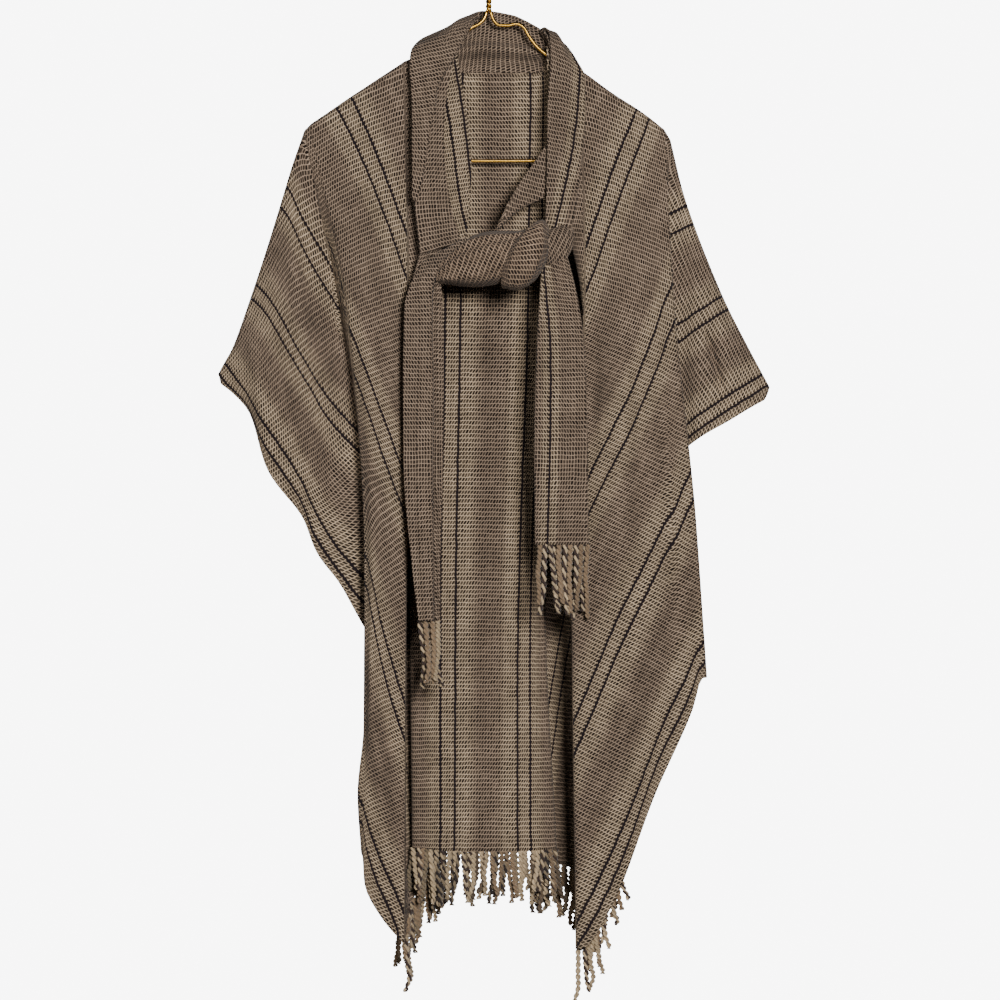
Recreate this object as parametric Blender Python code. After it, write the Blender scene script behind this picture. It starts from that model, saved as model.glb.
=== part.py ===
"""A woven wool wrap with a knotted scarf collar, hanging on a wire hanger.

The frame's origin is the top inside the hanger's hook, where a rail carries it. X runs to the right as seen from
the front, Y to the back and Z up. The tables are in millimetres: x across, `drop` down from the hook's seat and y
to the back. The body is one woven cloth laid over the hanger's arms. Each panel is described by its fold lines,
which hang from the shoulder fold to the hem or the selvedge, and its wall is worked out between them.
"""

import math

import bpy
import numpy as np

MM = 0.001
CLOTH = 2.0  # wall of the woven cloth
GAP = 0.3  # left between neighbouring pieces
SHOULDER_ROLL = 7.0  # radius of the body cloth where it turns over the hanger's arm
WIRE_RADIUS = 2.0

# The garment's fold lines. Each row is one line of the cloth from its top edge down to its lower edge: its name,
# the radius of the fold (0 where the cloth runs on, positive where it turns from the outside in and negative where
# it turns from the inside out, as the table is read down), then four stations of (x, drop, y).
LEFT_NECK_FOLDS = (
    ("slit_edge", 0, (-37, 131, -7), (-18, 281, -26), (-84, 468, -18), (-72, 1122, -12)),
    ("inner_fold", -6, (-96, 154, -7), (-91, 410, -24), (-94, 784, -26), (-96, 1186, -22)),
    ("crown", 0, (-143, 185, -7), (-122, 433, -34), (-121, 737, -42), (-124, 1151, -30)),
)
LEFT_SIDE_FOLDS = (
    ("outer_ridge", 5, (-205, 227, -7), (-160, 456, -27), (-146, 737, -30), (-153, 1030, -22)),
    ("hidden_valley", 4, (-213, 235, -6), (-176, 421, -16), (-128, 737, -12), (-125, 889, -11)),
    ("sleeve_fold_1", 0, (-228, 278, -6), (-207, 433, -25), (-180, 644, -10), (-174, 762, -5)),
    ("sleeve_fold_2", 0, (-253, 360, -6), (-238, 480, -23), (-226, 590, -18), (-214, 690, -10)),
    ("sleeve_fold_3", 0, (-277, 433, -5), (-268, 506, -19), (-262, 570, -20), (-256, 632, -14)),
    ("sleeve_fold_4", 0, (-298, 491, -4), (-290, 520, -12), (-284, 543, -13), (-277, 565, -9)),
    ("sleeve_fold_5", 0, (-307, 507, -4), (-303, 519, -7), (-300, 530, -8), (-296, 543, -7)),
    ("sleeve_tip", 0, (-314, 520, -3), (-313, 523, -4), (-312, 527, -4), (-311, 531, -4)),
)
RIGHT_NECK_FOLDS = (
    ("slit_edge", 0, (60, 131, -7), (73, 257, -16), (121, 480, -9), (157, 1100, -6)),
    ("inner_fold", -6, (109, 164, -7), (109, 433, -26), (95, 784, -26), (103, 1190, -20)),
    ("crown_inner", 0, (146, 191, -7), (153, 433, -36), (158, 784, -44), (146, 1138, -30)),
    ("crown_outer", 0, (183, 215, -7), (191, 433, -34), (212, 784, -36), (197, 1007, -26)),
)
RIGHT_SIDE_FOLDS = (
    ("outer_ridge", 5, (207, 234, -7), (221, 433, -26), (247, 690, -24), (259, 859, -17)),
    ("hidden_valley", 4, (214, 246, -6), (214, 410, -12), (182, 573, -11), (179, 690, -10)),
    ("sleeve_fold_1", 0, (228, 304, -6), (230, 421, -10), (225, 526, -5), (228, 611, -4)),
    ("sleeve_fold_2", 0, (249, 365, -6), (249, 445, -20), (249, 515, -20), (252, 592, -14)),
    ("sleeve_fold_3", 0, (278, 435, -5), (278, 474, -16), (278, 526, -18), (280, 576, -14)),
    ("sleeve_fold_4", 0, (308, 494, -4), (308, 514, -11), (308, 537, -12), (308, 559, -9)),
    ("sleeve_tip", 0, (330, 535, -3), (329, 540, -4), (327, 545, -4), (324, 550, -4)),
)
# The back between the two sides' ridges, from left to right. The neck rows start at the neck seam.
BACK_LEFT_FOLDS = (
    ("crown", 0, (-143, 185, 7), (-125, 433, 36), (-113, 784, 46), (-106, 1160, 32)),
    ("outside_fold", 6, (-73, 145, 7), (-86, 433, 36), (-58, 784, 49), (-50, 1092, 44)),
    ("inside_turn", 5, (-64, 142, 7), (-76, 433, 22), (-90, 784, 26), (-88, 1076, 26)),
)
BACK_NECK_FOLDS = (
    ("left_of_neck", 0, (-38, 165, 20), (-42, 433, 22), (-47, 784, 27), (-50, 1080, 26)),
    ("centre", 0, (12, 165, 22), (10, 433, 24), (4, 784, 28), (1, 1081, 26)),
    ("right_of_neck", 0, (55, 165, 20), (58, 433, 22), (55, 784, 27), (51, 1080, 26)),
)
BACK_RIGHT_FOLDS = (
    ("inside_turn", -5, (76, 142, 7), (75, 433, 22), (86, 784, 26), (86, 1078, 26)),
    ("outside_fold", -6, (84, 147, 7), (86, 433, 36), (58, 784, 49), (54, 1096, 44)),
    ("crown_inner", 0, (146, 191, 7), (153, 433, 38), (155, 784, 50), (128, 1164, 32)),
    ("crown_outer", 0, (183, 215, 7), (191, 433, 36), (206, 784, 38), (186, 1000, 28)),
)
BACK_SIDE_RISE = 9  # how much shorter the back's side folds hang than the front's
OFF_THE_WIRE = {"left_of_neck", "centre", "right_of_neck"}

# The scarf's stretches. Each row is one section of the doubled strip: its outer edge, then its inner edge.
LEFT_STRIP = (
    ((-84, 137, 1), (-30, 117, 1)),
    ((-88, 141, -8), (-34, 121, -8)),
    ((-90, 155, -16), (-41, 143, -17)),
    ((-86, 187, -25), (-46, 187, -21)),
    ((-87, 246, -37), (-50, 246, -35)),
    ((-84, 315, -43), (-44, 315, -42)),
    ((-77, 381, -49), (-30, 368, -45)),
)
RIGHT_STRIP = (
    ((102, 147, 1), (63, 122, 1)),
    ((107, 151, -8), (68, 128, -9)),
    ((113, 170, -16), (72, 153, -18)),
    ((114, 211, -26), (71, 200, -24)),
    ((109, 281, -37), (70, 269, -35)),
    ((103, 322, -43), (69, 322, -41)),
    ((92, 382, -49), (67, 368, -46)),
)
BACK_NECK = (
    ((-76, 126, 10), (-60, 139, 9)),
    ((-60, 117, 18), (-49, 150, 15)),
    ((-40, 107, 24), (-41, 164.4, 20)),
    ((-5, 92, 28), (-12, 164.4, 21.6)),
    ((30, 97, 28), (36, 164.4, 21.4)),
    ((60, 108, 24), (54, 164.4, 20)),
    ((77, 116, 18), (68, 147, 14)),
    ((90, 126, 11), (76, 137, 9)),
)
LEFT_TAIL = (
    ((-77.5, 382.2, -49.2), (-52, 375.6, -47.6)),
    ((-87, 416, -50), (-53, 412, -50.4)),
    ((-95, 443, -50), (-51, 447, -50)),
    ((-96, 527, -50), (-50, 529, -50)),
    ((-95, 632, -51), (-51, 632, -51)),
    ((-85, 749, -52), (-54, 749, -52)),
    ((-78, 807, -52), (-54, 807, -52)),
)
RIGHT_TAIL = (
    ((92.2, 383.2, -49.2), (67.8, 369.6, -46.4)),
    ((100, 412, -49), (63, 404, -49)),
    ((105, 436, -50), (61, 432, -50)),
    ((112, 487, -52), (58, 487, -52)),
    ((116, 597, -52), (55, 597, -52)),
    ((117, 719, -52), (56, 719, -52)),
)
STRIP_PLY_GAP = 2.6  # between the strip's two plies, middle to middle, halved

# The knot. Each row is one section of a rolled wrap: its middle, its half height across the roll, its half depth.
KNOT_WRAP = (
    ((-58, 404, -59.2), 10, 6),
    ((-44, 397, -66), 20, 9),
    ((-20, 391, -69), 27, 12),
    ((10, 384, -69), 27, 12),
    ((34, 375, -67), 21, 10),
    ((50, 367, -62), 12, 6),
)
KNOT_LOOP = (
    ((62, 347, -57), 11, 5),
    ((55, 360, -73.3), 19, 7),
    ((46, 384, -88), 24, 8),
    ((38, 408, -86), 21, 8),
    ((34, 421, -74), 14, 6),
)

# The single layer of the right strip that crosses behind it into the knot: its upper edge, then its lower edge.
RIGHT_UNDERLAP = (
    ((75.5, 244, -26), (75, 311, -30)),
    ((55, 274, -31), (54, 321, -35)),
    ((39, 297, -37), (36, 331, -40)),
    ((25, 321, -44), (20, 346, -47)),
    ((13, 346, -50), (11, 355, -52)),
)

# The fringe of each edge: strands, their length, and their width at the root.
STRAND_LENGTH = 58.0
STRAND_ROOT = 2.6
STRAND_HALF = 1.1
STRAND_SWAY = 1.2
STRIP_HEIGHT = 3.0
HEM_GAP = 0.8
TAIL_STRAND_LENGTH = 80.0
BACK_STRANDS = 46
FRONT_LEFT_STRANDS = 4
FRONT_RIGHT_STRANDS = 9
LEFT_TAIL_STRANDS = 10
RIGHT_TAIL_STRANDS = 18

HOOK_INNER_RADIUS = 18.0
BAR_DROP = 270.0
NECK_X = 2.0
NECK_TOP = 78.0
NECK_FOOT = 95.0
LEFT_ARM = (
    (-0.4, 97.6, 0),
    (-4, 102, 0),
    (-10, 109, 0),
    (-20, 113.5, 0),
    (-28, 126, 0),
    (-42, 141, 0),
    (-96, 163, 0),
    (-143, 194, 0),
    (-195, 229, 0),
    (-203, 238, 0),
    (-203, 249, 0),
    (-194, 260, 0),
    (-176, 268, 0),
    (-160, BAR_DROP, 0),
    (-150, BAR_DROP, 0),
)
RIGHT_ARM = (
    (4.6, 97.6, 0),
    (7, 104, 0),
    (14, 111, 0),
    (24, 111.5, 0),
    (34, 109.5, 0),
    (42, 113, 0),
    (49, 124, 0),
    (58, 136, 0),
    (70, 146, 0),
    (109, 172, 0),
    (146, 199, 0),
    (197, 235, 0),
    (204, 243, 0),
    (204, 253, 0),
    (195, 262, 0),
    (178, 268.5, 0),
    (160, BAR_DROP, 0),
    (150, BAR_DROP, 0),
)
BAR = ((-150 + GAP, BAR_DROP, 0), (150 - GAP, BAR_DROP, 0))


def clear_scene():
    """Empties the file of its objects."""
    for thing in list(bpy.data.objects):
        bpy.data.objects.remove(thing, do_unlink=True)


def material(name, colour, roughness, metallic=0.0):
    """A plain Principled finish."""
    finish = bpy.data.materials.new(name)
    finish.use_nodes = True
    shader = finish.node_tree.nodes["Principled BSDF"]
    shader.inputs["Base Color"].default_value = (*colour, 1.0)
    shader.inputs["Roughness"].default_value = roughness
    shader.inputs["Metallic"].default_value = metallic
    return finish


def add_mesh(name, points, faces, finish, sharp_degrees=50):
    """Puts points (in millimetres) and faces into a new object, shaded smooth."""
    mesh = bpy.data.meshes.new(name)
    mesh.from_pydata((np.asarray(points) * MM).tolist(), [], faces)
    mesh.validate()
    mesh.shade_smooth()
    mesh.set_sharp_from_angle(angle=math.radians(sharp_degrees))
    mesh.materials.append(finish)
    piece = bpy.data.objects.new(name, mesh)
    bpy.context.scene.collection.objects.link(piece)
    return piece


def placed(row):
    """A table's (x, drop, y) as an (x, y, z) array."""
    x, drop, y = row
    return np.array((x, y, -drop), float)


def smooth_through(knots, values, places):
    """Values at the places on a smooth curve through the knots, which never swings past a knot's own value.

    It is a cubic between each two knots. The slope at a knot is the harmonic mean of the slopes on its two sides,
    and nought where they differ in sign.
    """
    knots, values, places = (np.asarray(a, float) for a in (knots, values, places))
    steps = np.diff(knots)
    shape = (-1,) + (1,) * (values.ndim - 1)
    rise = np.diff(values, axis=0) / steps.reshape(shape)
    slopes = np.zeros_like(values)
    before, after = rise[:-1], rise[1:]
    same_way = before * after > 0
    total = np.where(same_way, before + after, 1.0)
    slopes[1:-1] = np.where(same_way, 2 * before * after / total, 0.0)
    slopes[0], slopes[-1] = rise[0], rise[-1]
    span = np.clip(np.searchsorted(knots, places, side="right") - 1, 0, len(steps) - 1)
    t = ((places - knots[span]) / steps[span]).reshape(shape)
    width = steps[span].reshape(shape)
    start, end = values[span], values[span + 1]
    return (
        start * (2 * t**3 - 3 * t**2 + 1)
        + end * (3 * t**2 - 2 * t**3)
        + width * (slopes[span] * (t**3 - 2 * t**2 + t) + slopes[span + 1] * (t**3 - t**2))
    )


def quads(rows, columns, offset=0, flip=False):
    """The faces of a grid of points stored row by row."""
    faces = []
    for r in range(rows - 1):
        for c in range(columns - 1):
            a = offset + r * columns + c
            face = (a, a + 1, a + columns + 1, a + columns)
            faces.append(face[::-1] if flip else face)
    return faces


def rim(rows, columns, offset):
    """The faces that join the borders of two equal grids, the second stored `offset` points after the first."""
    top = [c for c in range(columns)]
    right = [r * columns + columns - 1 for r in range(rows)]
    bottom = [(rows - 1) * columns + c for c in range(columns - 1, -1, -1)]
    left = [r * columns for r in range(rows - 1, -1, -1)]
    loop = top + right[1:] + bottom[1:] + left[1:]
    return [(a, a + offset, b + offset, b) for a, b in zip(loop[:-1], loop[1:])]


def grid_normals(grid):
    """Unit normals of a grid of points, from the directions of its rows and columns."""
    across = np.gradient(grid, axis=1)
    down = np.gradient(grid, axis=0)
    normals = np.cross(across, down)
    return normals / np.linalg.norm(normals, axis=2, keepdims=True)


def add_wall(name, grid, finish, normals=None):
    """A closed wall, half the cloth's thickness to each side of a grid of points."""
    if normals is None:
        normals = grid_normals(grid)
    rows, columns = grid.shape[:2]
    count = rows * columns
    front = (grid + normals * CLOTH / 2).reshape(-1, 3)
    behind = (grid - normals * CLOTH / 2).reshape(-1, 3)
    faces = quads(rows, columns) + quads(rows, columns, count, True) + rim(rows, columns, count)
    return add_mesh(name, np.vstack((front, behind)), faces, finish)


# How finely the walls are cut, from their top edge down and between two fold lines.
ROLL_ROWS = (0.0, 0.08, 0.32, 0.66, 1.0)  # rows over the hanger's arm, as shares of the roll's radius
BODY_ROWS = 13
COLUMNS_PER_FOLD = 2
UNDERLAP_COLUMNS = 4
TURN_FULL = 3.5  # a turn is a full half circle where its layers overlap by this many of its radii
TURN_FLAT = 0.25  # share of the way to the next fold line at which a turn's outer lines lie where it is flat
TURN_REACH = 8.0  # the farthest they lie from the turn there


def fold_line(name, stations, side):
    """The points of one fold line, from the shoulder fold or the neck seam down.

    A line that starts on the hanger's arm leaves it as a quarter circle, so that front and back meet edge to edge.
    """
    knots = np.array([placed(row) for row in stations])
    lengths = np.concatenate(((0,), np.cumsum(np.linalg.norm(np.diff(knots, axis=0), axis=1))))
    total = lengths[-1]
    roll = SHOULDER_ROLL * min(1.0, total / 40)
    below = np.linspace(roll, total, BODY_ROWS + 1)[1:]
    distance = np.concatenate((np.array(ROLL_ROWS) * roll, below))
    line = smooth_through(lengths, knots, distance)
    if name not in OFF_THE_WIRE:
        inward = 1 - np.minimum(distance / roll, 1)
        edge = side * GAP / 2
        line[:, 1] = edge + (line[:, 1] - edge) * np.sqrt(1 - inward**2)
    return line


def rounded(lines, turns, side):
    """The fold lines with each turn made round: a line just before it and one just after it.

    Where both neighbours lie to the same side of the turn the three lines make half a circle, and where the cloth
    runs on past it they lie flat. The table's third column says at which fold line each of the new lines starts.
    """
    rows, cuts, starts = [], [], []
    for index, (line, turn) in enumerate(zip(lines, turns)):
        starts.append(sum(cuts))
        if not turn:
            rows.append(line)
            cuts.append(COLUMNS_PER_FOLD)
            continue
        before, after = lines[index - 1] - line, lines[index + 1] - line
        folded = np.where(before[:, :1] * after[:, :1] > 0, np.minimum(abs(before[:, :1]), abs(after[:, :1])), 0)
        opened = np.clip(folded / (TURN_FULL * abs(turn)), 0, 1)
        arc = np.sign(before[:, :1]) * abs(turn) * opened
        level_shift = side * turn * opened
        nothing = np.zeros_like(arc)
        ahead, beyond = (
            np.minimum(TURN_FLAT, TURN_REACH / np.linalg.norm(way, axis=1, keepdims=True)) * way * (1 - opened)
            for way in (before, after)
        )
        rows += [
            line + ahead + np.hstack((arc, level_shift, nothing)),
            line,
            line + beyond + np.hstack((arc, -level_shift, nothing)),
        ]
        cuts += [1, 1, COLUMNS_PER_FOLD]
    return np.array(rows), cuts, starts


def panel_grid(folds, side):
    """A panel's middle surface, its fold lines and smooth curves across them, and each fold's first column."""
    lines = [fold_line(row[0], row[2:], side) for row in folds]
    lines, cuts, starts = rounded(lines, [row[1] for row in folds], side)
    spacing = np.linalg.norm(np.diff(lines, axis=0), axis=2).mean(axis=1)
    knots = np.concatenate(((0,), np.cumsum(spacing)))
    places = [knots[k] + spacing[k] * n / cuts[k] for k in range(len(spacing)) for n in range(cuts[k])]
    return smooth_through(knots, lines, [*places, knots[-1]]).transpose(1, 0, 2), starts


def panel_normals(grid):
    """The wall's directions, straight up along the edge where front and back meet."""
    normals = grid_normals(grid)
    meets = np.abs(grid[0, :, 1]) < GAP
    normals[0, meets, 1] = 0
    return normals / np.linalg.norm(normals, axis=2, keepdims=True)


def back_side(folds, rise):
    """The back's folds beyond the hanger's ends: the front's, turned to the back and hanging a little shorter."""
    rows = []
    for name, turn, *stations in folds:
        turned = [(x, drop, -y) for x, drop, y in stations]
        x, drop, y = turned[-1]
        if name != "sleeve_tip":
            turned[-1] = (x, drop - rise, y)
        rows.append((name, turn, *turned))
    return rows


def strip_section(outer, inner, normal):
    """The doubled strip's section: down the front ply, round the fold at its outer edge and back up the other."""
    across = outer - inner
    reach = np.linalg.norm(across)
    along = across / reach
    straight = reach - STRIP_PLY_GAP
    front = [(straight * share, 1.0) for share in (0.0, 0.3, 0.65, 1.0)]
    turn = [(straight + STRIP_PLY_GAP * math.sin(a), math.cos(a)) for a in (math.pi / 4, math.pi / 2, math.pi * 3 / 4)]
    behind = [(share, -height) for share, height in reversed(front)]
    return [inner + along * s + normal * STRIP_PLY_GAP * h for s, h in front + turn + behind]


def strip_edges(sections, rows):
    """The two edges of a strip, smooth through its table of sections."""
    edges = np.array([[placed(edge) for edge in row] for row in sections])
    lengths = np.concatenate(((0,), np.cumsum(np.linalg.norm(np.diff(edges.mean(axis=1), axis=0), axis=1))))
    smooth = smooth_through(lengths, edges, np.linspace(0, lengths[-1], rows))
    return smooth[:, 0], smooth[:, 1]


def strip_grid(sections, rows):
    """A doubled strip's middle surface, from its table of sections."""
    outer, inner = strip_edges(sections, rows)
    run = np.gradient((outer + inner) / 2, axis=0)
    normals = np.cross(run, outer - inner)
    normals /= np.linalg.norm(normals, axis=1, keepdims=True)
    normals *= -np.sign(normals[:, 1:2])
    return np.array([strip_section(o, i, n) for o, i, n in zip(outer, inner, normals)])


def add_roll(name, sections, rows, sides, finish):
    """A rolled wrap of the scarf: a tube of cloth, open at both ends."""
    middles = np.array([placed(row[0]) for row in sections])
    halves = np.array([row[1:] for row in sections], float)
    lengths = np.concatenate(((0,), np.cumsum(np.linalg.norm(np.diff(middles, axis=0), axis=1))))
    places = np.linspace(0, lengths[-1], rows)
    middles = smooth_through(lengths, middles, places)
    halves = smooth_through(lengths, halves, places)
    run = np.gradient(middles, axis=0)
    run /= np.linalg.norm(run, axis=1, keepdims=True)
    height = np.cross(run, (0, 1, 0))
    height /= np.linalg.norm(height, axis=1, keepdims=True)
    depth = np.cross(height, run)
    turn = np.arange(sides) * 2 * math.pi / sides
    rings = []
    for thinner in (0.0, CLOTH):
        half = halves - thinner
        up = height[:, None] * (half[:, 0, None] * np.cos(turn))[..., None]
        out = depth[:, None] * (half[:, 1, None] * np.sin(turn))[..., None]
        rings.append(middles[:, None] + up + out)
    count = rows * sides
    faces = []
    for r in range(rows - 1):
        for c in range(sides):
            a, b = r * sides + c, r * sides + (c + 1) % sides
            faces.append((a, a + sides, b + sides, b))
            faces.append((a + count, b + count, b + count + sides, a + count + sides))
    last = (rows - 1) * sides
    for c in range(sides):
        d = (c + 1) % sides
        faces.append((c, d, d + count, c + count))
        faces.append((last + c + count, last + d + count, last + d, last + c))
    return add_mesh(name, np.vstack([ring.reshape(-1, 3) for ring in rings]), faces, finish)


def hem_places(arc, strands, root):
    """Where a hem's strip has its points, along the hem, and the number of the point that starts each strand.

    The points are the two sides of every strand and the hem's own points that lie clear of the strands.
    """
    middles = (np.arange(strands) + 0.5) * arc[-1] / strands
    sides = np.stack((middles - root / 2, middles + root / 2), axis=1)
    clear = np.abs(arc[:, None] - middles).min(axis=1) > root / 2 + GAP
    places = np.sort(np.concatenate((arc[clear], sides.ravel())))
    return places, np.searchsorted(places, sides[:, 0])


def level(direction):
    """A direction without its upright part, one unit long."""
    flat = direction * (1, 1, 0)
    return flat / np.linalg.norm(flat)


def add_fringe(name, edge, normals, down, strands, length, finish, lean=0.0):
    """A fringe: a narrow strip just below a cloth's edge, with the strands standing out of its lower face.

    The strands lean to the back by `lean` within their first ring.
    """
    arc = np.concatenate(((0,), np.cumsum(np.linalg.norm(np.diff(edge, axis=0), axis=1))))
    places, roots = hem_places(arc, strands, STRAND_ROOT)
    line = np.array([np.interp(places, arc, edge[:, k]) for k in range(3)]).T
    normals = np.array([np.interp(places, arc, normals[:, k]) for k in range(3)]).T
    normals /= np.linalg.norm(normals, axis=1, keepdims=True)
    down = np.array([np.interp(places, arc, down[:, k]) for k in range(3)]).T
    down /= np.linalg.norm(down, axis=1, keepdims=True)
    grid = np.array((line + down * HEM_GAP, line + down * (HEM_GAP + STRIP_HEIGHT)))
    columns = len(places)
    count = 2 * columns
    walls = np.array((normals, normals))
    points = np.vstack(((grid + walls * CLOTH / 2).reshape(-1, 3), (grid - walls * CLOTH / 2).reshape(-1, 3)))
    faces = quads(2, columns) + quads(2, columns, count, True)
    rooted = {(columns + root + 1, columns + root) for root in roots}
    faces += [face for face in rim(2, columns, count) if (face[0], face[3]) not in rooted]
    points = [points]
    size = 2 * count
    for strand, root in enumerate(roots):
        left = columns + int(root)
        right = left + 1
        ring = [right, right + count, left + count, left]
        corners = points[0][ring]
        middle = corners.mean(axis=0)
        sway = 2 * math.pi * ((strand * 0.618) % 1)
        long = length * (0.86 + 0.14 * math.cos(3 * sway))
        wide = level(corners[0] + corners[1] - corners[2] - corners[3])
        deep = level(corners[0] + corners[3] - corners[1] - corners[2])
        square = np.array((wide + deep, wide - deep, -wide - deep, -wide + deep)) * STRAND_HALF
        for share, thick in ((0.12, 1.0), (0.55, 0.95), (1.0, 0.7)):
            bend = math.sin(share * math.pi * 0.9)
            drift = np.array((STRAND_SWAY * math.cos(sway) * bend, STRAND_SWAY * math.sin(sway) * bend, 0))
            hang = middle + np.array((0, lean, -long * share)) + drift
            points.append(hang + square * thick)
            new = [size, size + 1, size + 2, size + 3]
            faces += [(ring[k], ring[(k + 1) % 4], new[(k + 1) % 4], new[k]) for k in range(4)]
            ring = new
            size += 4
        faces.append(tuple(ring))
    return add_mesh(name, np.vstack(points), faces, finish)


def add_wire(name, path, finish, radius=WIRE_RADIUS):
    """A round wire along (x, drop, y) points."""
    curve = bpy.data.curves.new(name, "CURVE")
    curve.dimensions = "3D"
    curve.bevel_depth = radius * MM
    curve.bevel_resolution = 2
    curve.use_fill_caps = True
    run = curve.splines.new("POLY")
    run.points.add(len(path) - 1)
    for point, row in zip(run.points, path):
        point.co = (*(placed(row) * MM), 1.0)
    curve.materials.append(finish)
    piece = bpy.data.objects.new(name, curve)
    bpy.context.scene.collection.objects.link(piece)
    return piece


def hem_of(grid, first, last):
    """A stretch of a panel's lower edge: its points, the wall's directions and the way down the cloth."""
    part = slice(first, last + 1)
    return grid[-1, part], panel_normals(grid)[-1, part], grid[-1, part] - grid[-2, part]


def smooth_path(rows, count):
    """Points at equal steps along a smooth curve through a wire's (x, drop, y) rows."""
    rows = np.array(rows, float)
    lengths = np.concatenate(((0,), np.cumsum(np.linalg.norm(np.diff(rows, axis=0), axis=1))))
    return smooth_through(lengths, rows, np.linspace(0, lengths[-1], count))


def add_twisted_neck(name, finish):
    """The hanger's neck, where its two wires are twisted: an oval bar that turns as it goes down."""
    rows, sides, turns = 13, 8, 1.5
    faces, points = [], []
    for r in range(rows):
        share = r / (rows - 1)
        twist = share * turns * math.pi
        drop = NECK_TOP + GAP + share * (NECK_FOOT - NECK_TOP - 2 * GAP)
        for c in range(sides):
            angle = 2 * math.pi * c / sides
            a, b = 1.8 * WIRE_RADIUS * math.cos(angle), 1.1 * WIRE_RADIUS * math.sin(angle)
            x = a * math.cos(twist) - b * math.sin(twist)
            y = a * math.sin(twist) + b * math.cos(twist)
            points.append((NECK_X + x, y, -drop))
    for r in range(rows - 1):
        for c in range(sides):
            a, b = r * sides + c, r * sides + (c + 1) % sides
            faces.append((a, a + sides, b + sides, b))
    faces.append(tuple(range(sides)))
    faces.append(tuple(reversed(range((rows - 1) * sides, rows * sides))))
    return add_mesh(name, points, faces, finish)


def build_hanger(gold):
    """The wire hanger: its hook, twisted neck, two arms and bar."""
    centre = HOOK_INNER_RADIUS + WIRE_RADIUS
    arc = []
    for step in range(15):
        angle = math.radians(200 - step * 245 / 14)
        arc.append((centre * math.cos(angle), HOOK_INNER_RADIUS - centre * math.sin(angle), 0))
    shank = smooth_path((arc[-1], (6, 49, 0), (NECK_X, 64, 0), (NECK_X, NECK_TOP, 0)), 7)
    add_wire("hanger_hook", arc + [tuple(row) for row in shank[1:]], gold)
    add_twisted_neck("hanger_neck", gold)
    side_by_side = WIRE_RADIUS + GAP / 2
    for name, start, rows, count in (
        ("hanger_left_arm", NECK_X - side_by_side, LEFT_ARM, 22),
        ("hanger_right_arm", NECK_X + side_by_side, RIGHT_ARM, 24),
    ):
        add_wire(name, [(start, NECK_FOOT, 0), *smooth_path(rows, count)], gold)
    add_wire("hanger_bar", BAR, gold)


def build_body(wool):
    """The woven body: two fronts and a back, and the fringe of each hem."""
    left, left_starts = panel_grid(LEFT_NECK_FOLDS + LEFT_SIDE_FOLDS, -1)
    right, right_starts = panel_grid(RIGHT_NECK_FOLDS + RIGHT_SIDE_FOLDS, -1)
    left_side = back_side(LEFT_SIDE_FOLDS, BACK_SIDE_RISE)
    right_side = back_side(RIGHT_SIDE_FOLDS, BACK_SIDE_RISE)
    across = [(name, -turn, *stations) for name, turn, *stations in reversed(left_side)]
    rows = [*across, *BACK_LEFT_FOLDS, *BACK_NECK_FOLDS, *BACK_RIGHT_FOLDS, *right_side]
    back, back_starts = panel_grid(rows, 1)
    for name, grid in (("front_left_panel", left), ("front_right_panel", right), ("back_panel", back)):
        add_wall(name, grid, wool, panel_normals(grid))
    first = back_starts[len(left_side)]
    last = back_starts[len(left_side) + len(BACK_LEFT_FOLDS) + len(BACK_NECK_FOLDS) + 2]
    hems = (
        ("fringe_front_left_hem", left, 0, left_starts[1], FRONT_LEFT_STRANDS, 2.5),
        ("fringe_front_right_hem", right, 0, right_starts[1], FRONT_RIGHT_STRANDS, 2.5),
        ("fringe_back_hem", back, first, last, BACK_STRANDS, 0.0),
    )
    for name, grid, start, end, strands, lean in hems:
        add_fringe(name, *hem_of(grid, start, end), strands, STRAND_LENGTH, wool, lean)


def build_scarf(wool):
    """The doubled scarf: its neck, two strips, knot, tails and their fringes."""
    for name, sections, rows in (
        ("scarf_back_neck", BACK_NECK, 15),
        ("scarf_left_strip", LEFT_STRIP, 11),
        ("scarf_right_strip", RIGHT_STRIP, 11),
    ):
        add_wall(name, strip_grid(sections, rows), wool)
    upper, lower = strip_edges(RIGHT_UNDERLAP, 9)
    across = np.linspace(0, 1, UNDERLAP_COLUMNS)[:, None]
    add_wall("scarf_right_underlap", upper[:, None] * (1 - across) + lower[:, None] * across, wool)
    add_roll("scarf_knot_wrap", KNOT_WRAP, 10, 12, wool)
    add_roll("scarf_knot_loop", KNOT_LOOP, 9, 12, wool)
    for side, sections, strands in (("left", LEFT_TAIL, LEFT_TAIL_STRANDS), ("right", RIGHT_TAIL, RIGHT_TAIL_STRANDS)):
        grid = strip_grid(sections, 12)
        add_wall(f"scarf_{side}_tail", grid, wool)
        name = f"fringe_{side}_tail"
        add_fringe(name, grid[-1], grid_normals(grid)[-1], grid[-1] - grid[-2], strands, TAIL_STRAND_LENGTH, wool)


clear_scene()
build_hanger(material("gold_wire", (0.62, 0.42, 0.14), 0.28, 1.0))
wool_cloth = material("woven_wool", (0.19, 0.15, 0.12), 0.92)
build_body(wool_cloth)
build_scarf(wool_cloth)
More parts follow.
